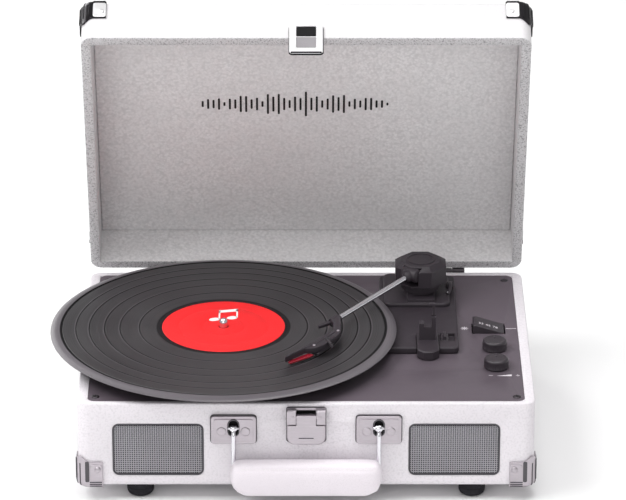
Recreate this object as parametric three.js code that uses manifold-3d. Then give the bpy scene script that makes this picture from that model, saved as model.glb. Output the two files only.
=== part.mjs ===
// A suitcase record player, built in millimetres with +Z up and the front facing -Y.
// A vinyl-covered case holds a deck plate with a belt-driven platter and a tonearm, two speakers
// look out of the front, and a lid with its half of the latch stands open on two butt hinges.
// Every sub-part is drawn in the case frame: X = 0 is the middle of the case, Y = 0 its front
// face and Z = 0 its underside. One root group then moves the whole player to its origin,
// the middle of its footprint on the table.
import * as THREE from 'three';
import { mergeVertices } from 'three/addons/utils/BufferGeometryUtils.js';
import Module from 'manifold-3d';

const wasm = await Module();
wasm.setup();

// ---------------------------------------------------------------- driving dimensions
const GAP = 0.3;                      // clearance between neighbouring pieces
const CASE = { width: 356, depth: 256, height: 71.5, wall: 8, floor: 6, corner: 9, edge: 5 };
const LID = { height: 44.5, wall: 8, top: 6, edge: 7, open: 68.5 };
const FOOT = { radius: 10.5, height: 12, x: 130, inset: 15 };
const DECK = { top: 71.2, thickness: 2.9, halfWidth: 169.7, front: 4.5, back: 249.5 };
const PLATTER = { x: -65.9, y: 116, radius: 100, ring: 69, clearance: 1.5, rim: 9.6 };
const RECORD = { radius: 138, bottom: 11.3, top: 14, bevel: 7.5, label: 49 };
const SPINDLE = { radius: 3.5, top: 21 };
const PULLEY = { radius: 6, reach: 82, bearing: 225 };
const GRILLE = { width: 70.8, height: 44, x: 115.3, z: 32, corner: 5, thickness: 1.6 };
const SPEAKER = { radius: 25, depth: 30 };
const BRACKET = { x: 56.5, z: 50, width: 35, height: 23.5, thickness: 3.5 };
const HANDLE = { pinY: -3.7, pinZ: 52, wire: 1.8, wireY: -6.6, top: 29, back: -2.5, front: -20, end: 58.5 };
const LATCH = { halfWidth: 15, neck: 7.6, bottom: 39.6, top: 68.5, pivotY: -4.7, pivotZ: 61.8 };
const HASP = {
  width: 26.6, onLid: 12.5, below: 20, thickness: 2.2, web: 0.8, halfWindow: 7.9, bar: 6, topBar: 1.2,
};
const HINGE = { x: 116, width: 30, barrel: 2.3, pin: 1.2, offset: 2.6, leaf: 20, tongue: 9 };
const CAP = { reach: 19.5, thickness: 1.3 };
const ARM = {
  x: 93, y: 198, head: 20.5, headTop: 37, headBottom: 20,
  tube: 2.1, length: 93.5, bearing: THREE.MathUtils.degToRad(-129.2), slope: THREE.MathUtils.degToRad(4),
  pitchX: 85.2, pitchY: 182.6, pitchZ: 30.2, offset: 3.7,
};
const SHELL = { yaw: 5, low: -1.5 };  // the headshell's turn on the tube in degrees, and its underside
const ARM_BASE = { left: 60, right: 121.5, front: 93, back: 237, height: 5.5 };
const ARM_REST = { left: 88, right: 105.5, front: 80, back: 118 };
const FORK = { x0: 90, x1: 103, y0: 103, y1: 110, saddle: 19, inner: 21.8, outer: 27.5 };
const CLIP = { x: 101.4, z: 25.2, pin: 0.7, eye: 1.5 };
const STOP_WELL = { x0: 107, x1: 118.7, y0: 106.7, y1: 121.5, floor: 2.4 };
const CUE = { x: 117.2, y: 208, z: 9.5 };
const ROCKER = { x: 146.5, y: 142.5, length: 25, width: 19, pivotZ: 68 };
const KNOB = { radius: 9.75, height: 8, x: 150, modeY: 103, volumeY: 68, shaft: 3 };
const TRANSIT = { x: 37, y: 224, recess: 6.5, head: 5, depth: 1.6 };
const JACKS = { halfWidth: 42, bottom: 18, top: 46, thickness: 2 };
const BOARD_Z = 46;                   // underside of the control board that hangs below the deck

const HINGE_Y = CASE.depth + HINGE.offset;
const HINGE_Z = CASE.height + GAP / 2;

// The middle of the footprint: the record overhangs the case at the left, the lid at the back.
const ORIGIN = { x: -12.2, y: 139, z: -FOOT.height };

const V3 = (x, y, z) => new THREE.Vector3(x, y, z);
const rad = THREE.MathUtils.degToRad;

// ---------------------------------------------------------------- solids and booleans
// A closed geometry as a manifold solid: only positions are kept, and slivers are dropped.
function toSolid(geometry) {
  const bare = geometry.clone();
  bare.deleteAttribute('normal');
  bare.deleteAttribute('uv');
  const merged = mergeVertices(bare, 1e-3);
  const index = merged.index.array;
  const kept = [];
  for (let i = 0; i < index.length; i += 3) {
    const [a, b, c] = [index[i], index[i + 1], index[i + 2]];
    if (a !== b && b !== c && c !== a) kept.push(a, b, c);
  }
  const mesh = new wasm.Mesh({
    numProp: 3,
    vertProperties: new Float32Array(merged.attributes.position.array),
    triVerts: new Uint32Array(kept),
  });
  return new wasm.Manifold(mesh);
}

function toGeometry(solid) {
  const mesh = solid.getMesh();
  const geometry = new THREE.BufferGeometry();
  geometry.setAttribute('position', new THREE.BufferAttribute(new Float32Array(mesh.vertProperties), 3));
  geometry.setIndex(new THREE.BufferAttribute(new Uint32Array(mesh.triVerts), 1));
  return geometry;
}

const join = (...geometries) => toGeometry(
  geometries.map(toSolid).reduce((sum, next) => sum.add(next)));

const cut = (geometry, ...tools) => toGeometry(
  tools.map(toSolid).reduce((rest, tool) => rest.subtract(tool), toSolid(geometry)));

const common = (a, b) => toGeometry(toSolid(a).intersect(toSolid(b)));

// ---------------------------------------------------------------- basic shapes
function box(x0, x1, y0, y1, z0, z1) {
  const geometry = new THREE.BoxGeometry(x1 - x0, y1 - y0, z1 - z0);
  return geometry.translate((x0 + x1) / 2, (y0 + y1) / 2, (z0 + z1) / 2);
}

// A round bar between two points; a different end radius makes it a cone.
function rod(from, to, radius, sides = 16, endRadius = radius) {
  const axis = to.clone().sub(from);
  const geometry = new THREE.CylinderGeometry(endRadius, radius, axis.length(), sides);
  const turn = new THREE.Quaternion().setFromUnitVectors(V3(0, 1, 0), axis.clone().normalize());
  geometry.applyQuaternion(turn);
  const middle = from.clone().add(to).multiplyScalar(0.5);
  return geometry.translate(middle.x, middle.y, middle.z);
}

const post = (x, y, z0, z1, radius, sides = 16) => rod(V3(x, y, z0), V3(x, y, z1), radius, sides);

const barX = (x0, x1, y, z, radius, sides = 16) => rod(V3(x0, y, z), V3(x1, y, z), radius, sides);

// A profile of [radius, height] pairs, listed upwards along the outside, turned about +Z.
function turned(profile, sides = 32) {
  const points = profile.map(([r, z]) => new THREE.Vector2(r, z));
  return new THREE.LatheGeometry(points, sides).rotateX(Math.PI / 2);
}

function roundedRect(width, height, radius, bottomRadius = radius) {
  const [w, h] = [width / 2, height / 2];
  const shape = new THREE.Shape();
  shape.moveTo(-w + bottomRadius, -h);
  shape.lineTo(w - bottomRadius, -h);
  shape.absarc(w - bottomRadius, -h + bottomRadius, bottomRadius, -Math.PI / 2, 0);
  shape.lineTo(w, h - radius);
  shape.absarc(w - radius, h - radius, radius, 0, Math.PI / 2);
  shape.lineTo(-w + radius, h);
  shape.absarc(-w + radius, h - radius, radius, Math.PI / 2, Math.PI);
  shape.lineTo(-w, -h + bottomRadius);
  shape.absarc(-w + bottomRadius, -h + bottomRadius, bottomRadius, Math.PI, Math.PI * 1.5);
  return shape;
}

// A prism standing on z = 0, with its top and bottom edges rounded when edge is given.
function prism(shape, height, edge = 0, segments = 3, curveSegments = 3) {
  const geometry = new THREE.ExtrudeGeometry(shape, {
    depth: height - 2 * edge,
    bevelEnabled: edge > 0,
    bevelThickness: edge,
    bevelSize: edge,
    bevelOffset: -edge,
    bevelSegments: segments,
    curveSegments,
  });
  return geometry.translate(0, 0, edge);
}

// A plate that stands upright against the front: its outline is seen from -Y, its back is at y.
function upright(shape, x, y, z, thickness, edge = 0, segments = 1) {
  return prism(shape, thickness, edge, segments).rotateX(Math.PI / 2).translate(x, y, z);
}

// The outer block of one half of the case: plan corners rounded, and the outer rim of one face.
function caseBlock(height, edge, grow = 0) {
  const shape = roundedRect(CASE.width + 2 * grow, CASE.depth + 2 * grow, CASE.corner + grow);
  const tall = prism(shape, height + grow + 2 * edge, edge).translate(0, CASE.depth / 2, -grow);
  const reach = CASE.width;
  return cut(tall, box(-reach, reach, -reach, 2 * reach, height, height + 3 * edge));
}

const polygon = (...corners) => new THREE.Shape(corners.map(([x, y]) => new THREE.Vector2(x, y)));

// An outline in the YZ plane, given as [y, z] corners, swept along X.
function sweptX(corners, x0, x1) {
  const geometry = new THREE.ExtrudeGeometry(polygon(...corners), { depth: x1 - x0, bevelEnabled: false });
  return geometry.rotateX(Math.PI / 2).rotateZ(Math.PI / 2).translate(x0, 0, 0);
}

// An outline in the XZ plane, given as [x, z] corners, swept along Y.
function sweptY(corners, y0, y1) {
  const geometry = new THREE.ExtrudeGeometry(polygon(...corners), { depth: y1 - y0, bevelEnabled: false });
  return geometry.rotateX(Math.PI / 2).translate(0, y1, 0);
}

// ---------------------------------------------------------------- materials and meshes
const FINISH = {
  whiteVinyl: [0xd6d4d9, 0.6, 0],
  whiteLeatherette: [0xf6eef5, 0.5, 0],
  greyLining: [0xb3b1b3, 0.85, 0],
  deck: [0x5c545b, 0.55, 0],
  armPlastic: [0x353136, 0.5, 0],
  knobPlastic: [0x2b282c, 0.45, 0],
  record: [0x4f4f51, 0.35, 0],
  label: [0xfa3237, 0.6, 0],
  rubber: [0x1e1d22, 0.9, 0],
  grille: [0x818085, 0.8, 0],
  nickel: [0xc0b8bf, 0.35, 0.9],
  steel: [0xd8d8dc, 0.2, 1],
  stylusRed: [0x96323c, 0.4, 0],
  board: [0x2f6b45, 0.7, 0],
  darkMetal: [0x3a383c, 0.5, 0.6],
};

const player = new THREE.Group();
const lid = new THREE.Group();

function add(name, geometry, finish, parent = player) {
  const [color, roughness, metalness] = FINISH[finish];
  const material = new THREE.MeshStandardMaterial({ color, roughness, metalness });
  const mesh = new THREE.Mesh(geometry, material);
  mesh.name = name;
  parent.add(mesh);
  return mesh;
}

const SIDES = [['left', -1], ['right', 1]];
const ENDS = [['front', 0], ['rear', CASE.depth]];

// ---------------------------------------------------------------- case base
function baseBox() {
  const inX = CASE.width / 2 - CASE.wall;
  const inBack = CASE.depth - CASE.wall;
  const deckBottom = DECK.top - DECK.thickness - GAP;
  const open = CASE.height + 1;
  let shell = cut(
    caseBlock(CASE.height, CASE.edge),
    box(-inX, inX, CASE.wall, inBack, CASE.floor, open),
    box(-inX, inX, DECK.front - GAP, DECK.back + GAP, deckBottom, open));
  const block = 14;
  for (const [, side] of SIDES) {
    const [x0, x1] = side < 0 ? [-inX - 1, -inX + block] : [inX - block, inX + 1];
    for (const [y0, y1] of [[CASE.wall - 1, CASE.wall + block], [inBack - block, inBack + 1]]) {
      shell = join(shell, box(x0, x1, y0, y1, CASE.floor - 1, deckBottom - GAP));
    }
    const pocket = roundedRect(GRILLE.width + 2 * GAP, GRILLE.height + 2 * GAP, GRILLE.corner + GAP);
    const grilleSeat = upright(pocket, side * GRILLE.x, GRILLE.thickness + GAP, GRILLE.z, 3);
    const throat = rod(
      V3(side * GRILLE.x, 1, GRILLE.z), V3(side * GRILLE.x, CASE.wall + 1, GRILLE.z), SPEAKER.radius - 4, 20);
    shell = cut(shell, grilleSeat, throat);
  }
  const hookPocket = box(-LATCH.neck, LATCH.neck, -1, 5, 64.4, 67.9);
  const jackWindow = box(
    -JACKS.halfWidth + 4, JACKS.halfWidth - 4, inBack - 1, CASE.depth + 1, JACKS.bottom + 4, JACKS.top - 4);
  return cut(shell, hookPocket, jackWindow);
}

function foot() {
  const { radius, height } = FOOT;
  const profile = [
    [0, -height], [radius - 2.5, -height], [radius - 0.6, -height + 1.6], [radius, -height + 4],
    [radius, -GAP], [0, -GAP]];
  return turned(profile, 20);
}

// A pressed metal cap over one bottom corner of the base, or over one outer corner of the lid.
function cornerCap(height, edge, side, atBack) {
  const outer = caseBlock(height, edge, GAP + CAP.thickness);
  const inner = caseBlock(height, edge, GAP);
  const x = side * CASE.width / 2;
  const y = atBack ? CASE.depth : 0;
  const [x0, x1] = side < 0 ? [x - 5, x + CAP.reach] : [x - CAP.reach, x + 5];
  const [y0, y1] = atBack ? [y - CAP.reach, y + 5] : [y - 5, y + CAP.reach];
  return common(cut(outer, inner), box(x0, x1, y0, y1, -5, CAP.reach - 1));
}

function grille() {
  const { width, height, corner, thickness } = GRILLE;
  return upright(roundedRect(width, height, corner), 0, thickness, 0, thickness);
}

// A two-inch driver: cone, basket rim and magnet turned about the Y axis.
function speaker() {
  const { radius, depth } = SPEAKER;
  const profile = [[0, -depth], [13, -depth], [13, -depth + 9], [9, -depth + 9], [9, -depth + 14],
    [radius - 4, -6], [radius, -3], [radius, 0], [radius - 3, 0], [8, -10], [0, -7]];
  return turned(profile, 20).rotateX(Math.PI / 2);
}

function jackPanel() {
  const plate = upright(
    roundedRect(2 * JACKS.halfWidth, JACKS.top - JACKS.bottom, 3), 0, CASE.depth + GAP + JACKS.thickness,
    (JACKS.top + JACKS.bottom) / 2, JACKS.thickness);
  const z = (JACKS.top + JACKS.bottom) / 2;
  const hole = (x, r) => rod(V3(x, CASE.depth - 2, z), V3(x, CASE.depth + 4, z), r, 24);
  return cut(plate, hole(-26, 5.2), hole(10, 5.2), hole(26, 5.2));
}

// A power inlet with its centre pin, seen from the back.
function dcJack() {
  const z = (JACKS.top + JACKS.bottom) / 2;
  const back = CASE.depth;
  const barrel = rod(V3(-26, back - 10, z), V3(-26, back + 3, z), 4.8, 24);
  const body = box(-32, -20, back - 14, back - 2, z - 6, z + 6);
  const well = rod(V3(-26, back - 6, z), V3(-26, back + 4, z), 2.9, 20);
  const pin = rod(V3(-26, back - 7, z), V3(-26, back + 1.5, z), 0.9, 12);
  return join(cut(join(body, barrel), well), pin);
}

// The left and right line outputs share one moulded block.
function lineOutBlock() {
  const z = (JACKS.top + JACKS.bottom) / 2;
  const back = CASE.depth;
  let block = box(3, 33, back - 14, back - 2, z - 7, z + 7);
  for (const x of [10, 26]) {
    block = join(block, rod(V3(x, back - 3, z), V3(x, back + 8, z), 4.2, 24));
    block = cut(block, rod(V3(x, back - 4, z), V3(x, back + 9, z), 1.8, 16));
  }
  return block;
}

// ---------------------------------------------------------------- deck
function deckPlate() {
  const { halfWidth, front, back, top, thickness } = DECK;
  const plate = prism(roundedRect(2 * halfWidth, back - front, 6), thickness)
    .translate(0, (front + back) / 2, top - thickness);
  const through = (x, y, r) => post(x, y, top - 5, top + 2, r);
  const [pulleyX, pulleyY] = pulleyCentre();
  return cut(
    plate,
    through(PLATTER.x, PLATTER.y, 8.6),
    through(pulleyX, pulleyY, 4),
    through(ARM.x, ARM.y, 7),
    through(KNOB.x, KNOB.modeY, KNOB.shaft + GAP),
    through(KNOB.x, KNOB.volumeY, KNOB.shaft + GAP),
    post(TRANSIT.x, TRANSIT.y, top - TRANSIT.depth, top + 2, TRANSIT.recess, 24),
    box(ROCKER.x - ROCKER.length / 2 - 1, ROCKER.x + ROCKER.length / 2 + 1,
      ROCKER.y - ROCKER.width / 2 - 0.5, ROCKER.y + ROCKER.width / 2 + 0.5, top - 5, top + 2));
}

// The transit screw sits in its own shallow recess behind the platter.
function transitScrew() {
  const low = DECK.top - TRANSIT.depth + GAP;
  const { head } = TRANSIT;
  const profile = [[0, low], [head, low], [head, low + 1.8], [head - 0.8, low + 2.5], [0, low + 2.5]];
  const slot = box(-head - 1, head + 1, -0.6, 0.6, low + 1.5, low + 4);
  return cut(turned(profile, 24), slot).translate(TRANSIT.x, TRANSIT.y, 0);
}

function pulleyCentre() {
  const angle = rad(PULLEY.bearing);
  return [PLATTER.x + PULLEY.reach * Math.cos(angle), PLATTER.y + PULLEY.reach * Math.sin(angle)];
}

// The bearing sleeve hangs from a flange under the deck and carries the spindle.
function platterBearing() {
  const under = DECK.top - DECK.thickness - GAP;
  const sleeve = join(
    post(PLATTER.x, PLATTER.y, under - 3, under, 16, 24),
    post(PLATTER.x, PLATTER.y, under - 26, DECK.top + 0.9, 8, 20));
  return cut(sleeve, post(PLATTER.x, PLATTER.y, under - 23, DECK.top + 2, SPINDLE.radius + 0.1, 20));
}

function spindle() {
  const under = DECK.top - DECK.thickness - GAP;
  const top = DECK.top + SPINDLE.top;
  const profile = [[0, under - 22], [SPINDLE.radius, under - 22], [SPINDLE.radius, top - 3],
    [SPINDLE.radius - 0.5, top - 1.4], [SPINDLE.radius - 1.8, top - 0.3], [0, top]];
  return turned(profile, 20).translate(PLATTER.x, PLATTER.y, 0);
}

function platter() {
  const [low, high] = [DECK.top + PLATTER.clearance, DECK.top + PLATTER.rim];
  const { radius, ring } = PLATTER;
  const bore = SPINDLE.radius + GAP;
  const profile = [[bore, low], [14, low], [14, high - 3], [ring - 2.5, high - 3], [ring - 2.5, low + 1],
    [ring, low + 1], [ring, high - 3], [radius - 3, high - 3], [radius - 3, low], [radius, low],
    [radius, high - 1.5], [radius - 1.5, high], [bore, high], [bore, low]];
  return turned(profile, 48).translate(PLATTER.x, PLATTER.y, 0);
}

function flatRing(inner, outer, low, high, sides) {
  return turned([[inner, low], [outer, low], [outer, high], [inner, high], [inner, low]], sides);
}

function platterMat() {
  const low = DECK.top + PLATTER.rim + GAP;
  return flatRing(SPINDLE.radius + GAP, PLATTER.radius - 3, low, low + 1.1, 40)
    .translate(PLATTER.x, PLATTER.y, 0);
}

function record() {
  const [low, high] = [DECK.top + RECORD.bottom, DECK.top + RECORD.top];
  const bore = SPINDLE.radius + GAP;
  const { radius, bevel, label } = RECORD;
  const profile = [[bore, low], [radius - 0.6, low], [radius, low + 0.4], [radius - bevel, high],
    [label + GAP, high], [label + GAP, high - 0.5], [bore, high - 0.5], [bore, low]];
  return turned(profile, 64).translate(PLATTER.x, PLATTER.y, 0);
}

function recordLabel() {
  const high = DECK.top + RECORD.top;
  return flatRing(SPINDLE.radius + GAP, RECORD.label, high - 0.5 + GAP, high + 0.2, 40)
    .translate(PLATTER.x, PLATTER.y, 0);
}

// The flat belt round the platter's drive ring and the motor pulley.
function driveBelt() {
  const outline = (slack) => {
    const [ringRadius, pulleyRadius] = [PLATTER.ring + slack, PULLEY.radius + slack];
    const lean = Math.acos((ringRadius - pulleyRadius) / PULLEY.reach);
    const shape = new THREE.Shape();
    shape.absarc(0, 0, ringRadius, lean, 2 * Math.PI - lean);
    shape.absarc(PULLEY.reach, 0, pulleyRadius, -lean, lean);
    shape.closePath();
    return shape;
  };
  const width = 4;
  const ring = (slack, height) => prism(outline(slack), height, 0, 1, 14);
  return cut(ring(GAP + 0.7, width), ring(GAP, width + 2).translate(0, 0, -1))
    .rotateZ(rad(PULLEY.bearing))
    .translate(PLATTER.x, PLATTER.y, DECK.top + PLATTER.clearance + 1.1);
}

function motorPulley() {
  const [x, y] = pulleyCentre();
  const low = DECK.top + PLATTER.clearance;
  const profile = [[0, DECK.top - 14], [1.2, DECK.top - 14], [1.2, low - 0.6], [PULLEY.radius + 1, low - 0.6],
    [PULLEY.radius + 1, low + 0.5], [PULLEY.radius, low + 0.8], [PULLEY.radius, low + 4.7], [0, low + 4.7]];
  return turned(profile, 16).translate(x, y, 0);
}

function motor() {
  const [x, y] = pulleyCentre();
  const under = DECK.top - DECK.thickness - GAP;
  const can = join(
    post(x, y, under - 26, under - 3, 16, 24),
    post(x, y, under - 4, under, 3.6, 20));
  return cut(can, post(x, y, DECK.top - 16, DECK.top, 1.3, 20));
}

function mainBoard() {
  const board = box(-40, 60, 150, 230, CASE.floor + 6, CASE.floor + 7.6);
  const legs = [[-36, 154], [56, 154], [-36, 226], [56, 226]].map(
    ([x, y]) => post(x, y, CASE.floor + GAP, CASE.floor + 6.5, 2.5, 12));
  const chips = [
    box(-20, 0, 180, 200, CASE.floor + 7, CASE.floor + 10),
    box(20, 44, 166, 186, CASE.floor + 7, CASE.floor + 20),
    post(0, 218, CASE.floor + 7, CASE.floor + 24, 6, 16)];
  return join(board, ...legs, ...chips);
}

// The control board hangs under the knobs and carries their two rotary parts.
function controlBoard() {
  const knobs = [KNOB.modeY, KNOB.volumeY];
  const under = DECK.top - DECK.thickness - GAP;
  const shell = join(
    box(138, 164, 52, 122, BOARD_Z, BOARD_Z + 1.6),
    ...knobs.map((y) => box(142, 158, y - 8, y + 8, BOARD_Z + 1, BOARD_Z + 10)),
    ...knobs.map((y) => post(KNOB.x, y, BOARD_Z + 9, under - 3, 4.6, 20)),
    box(139.5, 141.5, 84, 88, BOARD_Z + 1, under));
  return cut(shell, ...knobs.map((y) => post(KNOB.x, y, BOARD_Z + 5, under, KNOB.shaft + 0.1)));
}

// ---------------------------------------------------------------- controls
function knob(y) {
  const low = DECK.top + 0.6;
  const under = DECK.top - DECK.thickness - GAP;
  const { radius, height, shaft } = KNOB;
  const high = low + height;
  const cap = turned([[0, low], [radius, low], [radius, high - 1.2], [radius - 1.2, high], [0, high]], 28);
  const pointer = box(-0.6, 0.6, radius - 5.5, radius + 1, high - 0.6, high + 1);
  const stem = post(0, 0, under - 8, low + 1, shaft);
  return join(cut(cap, pointer), stem).translate(KNOB.x, y, 0);
}

// A three-position rocker: its sloping top rises to the left.
function speedRocker() {
  const half = ROCKER.length / 2;
  const z = ROCKER.pivotZ;
  const corners = [
    [-half, z - 3], [half, z - 3], [half, z + 3.6], [half - 3, z + 4.2], [-half + 1.5, z + 10.5],
    [-half, z + 9.6]];
  return sweptY(corners, -ROCKER.width / 2, ROCKER.width / 2).translate(ROCKER.x, ROCKER.y, 0);
}

// ---------------------------------------------------------------- tonearm
function tonearmBase() {
  const low = DECK.top + GAP;
  const high = DECK.top + ARM_BASE.height;
  const { left, right, front, back } = ARM_BASE;
  const plate = prism(roundedRect(right - left, back - front, 4), high - low, 0.8, 1)
    .translate((left + right) / 2, (front + back) / 2, low);
  const terrace = prism(roundedRect(right - left - 8, 62, 6), 4, 1, 1)
    .translate((left + right) / 2 - 1, 203, high - 0.5);
  const pedestal = post(ARM.x, ARM.y, high - 1, DECK.top + 13, 14, 20);
  const shelf = box(ARM.x - 11, ARM.x + 11, 174, ARM.y, high - 1, DECK.top + 11.5);
  const restSlot = box(
    ARM_REST.left - GAP, ARM_REST.right + GAP, front - 1, ARM_REST.back + GAP, low - 1, high + 1);
  const { x0, x1, y0, y1, floor } = STOP_WELL;
  const stopWell = box(x0, x1, y0, y1, DECK.top + floor, high + 1);
  const shaftHole = post(ARM.x, ARM.y, low - 1, DECK.top + 14, 4.6, 24);
  const leverSeat = box(CUE.x - 3, CUE.x + 3, CUE.y - 6, CUE.y + 4, DECK.top + 6, DECK.top + 20);
  return cut(join(plate, terrace, pedestal, shelf), restSlot, stopWell, shaftHole, leverSeat);
}

// The octagonal head turns on a stub shaft, and has a mouth that the arm's hub pitches in.
function armHead() {
  const { head, headTop, headBottom } = ARM;
  const z = (h) => DECK.top + h;
  const corner = 1 / Math.cos(Math.PI / 8);
  const octagon = (low, high, topRadius = head) => rod(
    V3(0, 0, z(low)), V3(0, 0, z(high)), head * corner, 8, topRadius * corner).rotateZ(Math.PI / 8);
  const body = join(
    octagon(headBottom, headTop - 3.5),
    octagon(headTop - 3.6, headTop, head - 5),
    post(0, 0, z(13.4), z(headBottom + 1), 16, 24),
    post(0, 0, z(-6), z(14), 4.2, 24));
  const mouth = new THREE.BoxGeometry(30, 15, 14.6)
    .translate(20, ARM.offset, z(28.7))
    .rotateZ(ARM.bearing);
  return cut(body, mouth).translate(ARM.x, ARM.y, 0);
}

// The arm's own frame starts at the pitch axis, with +X along the tube and +Z up through it.
const inArmFrame = (geometry) => geometry
  .rotateY(ARM.slope)
  .rotateZ(ARM.bearing)
  .translate(ARM.pitchX, ARM.pitchY, DECK.top + ARM.pitchZ);

// A round hub carries the tube, and two short trunnions on the pitch axis.
function armTube() {
  const hub = rod(V3(-5, 0, 0), V3(8, 0, 0), 4.8, 20);
  return inArmFrame(join(hub, rod(V3(0, 0, 0), V3(ARM.length + 6, 0, 0), ARM.tube, 16)));
}

// The headshell: a collar round the tube's end, a knee, a short prong and a leaf-shaped case to one side.
function headshell() {
  const farEdge = [[9, -3], [15, 4.5], [26, 11.6], [30, 9.5], [44, 8.5], [61, 5.8], [79.5, 2], [82, 4]];
  const nearEdge = [[62, 9.5], [57, 16], [49, 19], [35, 19.4], [24, 18], [10, 8.5], [2, 3]];
  const leaf = polygon([2, -3], ...farEdge, ...nearEdge);
  const body = prism(leaf, 5, 1, 2).translate(0, 0, SHELL.low);
  const prong = prism(polygon([6, -3.4], [20, -7], [21.5, -5], [8, 1]), 2.6, 0.4, 1).translate(0, 0, SHELL.low);
  const collar = rod(V3(1, 0, 0), V3(10, 0, 0), 3.7, 20);
  const lift = join(
    rod(V3(40, 14, 1), V3(43, 20, 1.4), 1.1, 10),
    rod(V3(43, 20, 1.4), V3(49, 26, 3.6), 1.1, 10),
    new THREE.SphereGeometry(1.1, 10, 8).translate(43, 20, 1.4));
  const socket = rod(V3(-4, 0, 0), V3(6 + GAP, 0, 0), ARM.tube + GAP, 18);
  const straight = socket.rotateZ(-rad(SHELL.yaw));
  return inShellFrame(cut(join(body, prong, collar, lift), straight));
}

const inShellFrame = (geometry) => inArmFrame(
  geometry.rotateZ(rad(SHELL.yaw)).translate(ARM.length, 0, 0));

function cartridge() {
  const top = SHELL.low - GAP;
  return inShellFrame(prism(roundedRect(20, 8, 1.5), 2.2, 0.5, 1).translate(46, 13.6, top - 2.2));
}

// The stylus guard with its needle, which stops just clear of the groove.
function stylus() {
  const guard = polygon([59, 10.5], [76, 4], [79, 4.6], [79.5, 7], [63, 14.4], [59, 15]);
  const top = SHELL.low - GAP;
  const blade = prism(guard, 1.5, 0.3, 1).translate(0, 0, top - 1.5);
  const needle = rod(V3(65, 10.5, -2.6), V3(66, 10.5, -4.4), 0.7, 10, 0.25);
  return inShellFrame(join(blade, needle));
}

// The rest: a block with an eight-sided nose, and a fork whose inner prong is the lower one.
function armRest() {
  const low = DECK.top + GAP;
  const { left, right, front, back } = ARM_REST;
  const z = (h) => DECK.top + h;
  const nose = polygon(
    [left, back], [left, front + 5], [left + 5, front],
    [right - 5, front], [right, front + 5], [right, back]);
  const block = prism(nose, 7.5, 0.8, 1).translate(0, 0, low);
  const { y0, y1, x0, x1 } = FORK;
  const stem = box(x0, x1, y0, y1, z(7), z(FORK.saddle));
  const inner = box(x0, x0 + 3.6, y0, y1, z(FORK.saddle - 1), z(FORK.inner));
  const outer = box(x1 - 3.4, x1, y0, y1, z(FORK.saddle - 1), z(FORK.outer));
  const seat = box(x1 - 4, x1 + 1, y0 + 2, y1 - 2, z(FORK.outer - 4.5), z(FORK.outer + 1));
  const pin = rod(V3(CLIP.x, y0, z(CLIP.z)), V3(CLIP.x, y1, z(CLIP.z)), CLIP.pin, 12);
  return join(cut(join(block, stem, inner, outer), seat), pin);
}

// A hook that stands open on the outer prong and folds over the tube.
function armClip() {
  const z = DECK.top + CLIP.z;
  const y0 = FORK.y0 + 2 + GAP;
  const y1 = FORK.y1 - 2 - GAP;
  const eye = rod(V3(0, y0, 0), V3(0, y1, 0), CLIP.eye, 20);
  const blade = box(-0.9, 0.9, y0, y1, 0.5, 13);
  const lip = box(-3.4, 0.9, y0, y1, 11.5, 13);
  const bore = rod(V3(0, y0 - 1, 0), V3(0, y1 + 1, 0), CLIP.pin + 0.1, 20);
  return cut(join(eye, blade, lip), bore).translate(CLIP.x, 0, z);
}

// A curved lever at the right of the head, with its finger tab towards the front.
function cueLever() {
  const z = DECK.top + CUE.z;
  const eye = barX(CUE.x - 2.6, CUE.x + 2.6, CUE.y, z, 3.2);
  const route = [[0, 0, 0], [0, -6, 5], [0, -13, 5], [-1, -18, 2.2], [-2.4, -21, 1.4]];
  const path = new THREE.CatmullRomCurve3(route.map(([x, y, up]) => V3(CUE.x + x, CUE.y + y, z + up)));
  const section = roundedRect(3.2, 2, 0.9);
  const arm = new THREE.ExtrudeGeometry(
    section, { steps: 9, extrudePath: path, bevelEnabled: false, curveSegments: 1 });
  return join(eye, arm);
}

function autoStopLever() {
  const { x0, y0, y1, floor } = STOP_WELL;
  const inset = 0.5;
  const low = DECK.top + floor + GAP;
  return join(
    box(x0 + inset, x0 + 6.5, y0 + inset, y1 - inset, low, low + 2.6),
    box(x0 + 2.4, x0 + 4.6, y0 + 2, y1 - 2, low + 2, low + 5.4));
}

// ---------------------------------------------------------------- front hardware
function handleBracket() {
  const { x, z, width, height, thickness } = BRACKET;
  const plate = upright(roundedRect(width, height, 2.5), x, -GAP, z, thickness, 0.9);
  const slot = upright(roundedRect(7, 12.5, 3), x, 1, HANDLE.pinZ + 0.2, thickness + 3);
  const pin = barX(x - 4, x + 4, HANDLE.pinY, HANDLE.pinZ, 1.1, 12);
  const ears = [-1, 1].map((side) => {
    const inner = x + side * 3.1;
    const outer = x + side * 5;
    return barX(Math.min(inner, outer), Math.max(inner, outer), HANDLE.pinY, HANDLE.pinZ, 2.2, 12);
  });
  return join(cut(plate, slot), ...ears, pin);
}

// One bent wire: an eye on each bracket's pin, two legs, and a bar that runs inside the grip.
function handleFrame() {
  const { pinY, pinZ, wire, wireY, top } = HANDLE;
  const x = BRACKET.x;
  const low = top - 13;
  const eyes = [-x, x].map((centre) => cut(
    join(
      barX(centre - 2.6, centre + 2.6, pinY, pinZ, 2.9),
      rod(V3(centre, wireY, pinZ - 3.4), V3(centre, pinY - 0.6, pinZ), wire, 10)),
    barX(centre - 4, centre + 4, pinY, pinZ, 1.3)));
  const legs = [-x, x].map((centre) => rod(V3(centre, wireY, low), V3(centre, wireY, pinZ - 3.2), wire, 10));
  const knees = [-x, x].map(
    (centre) => new THREE.SphereGeometry(wire + 0.05, 10, 6).translate(centre, wireY, low));
  return join(...eyes, ...legs, ...knees, barX(-x, x, wireY, low, wire, 10));
}

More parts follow.
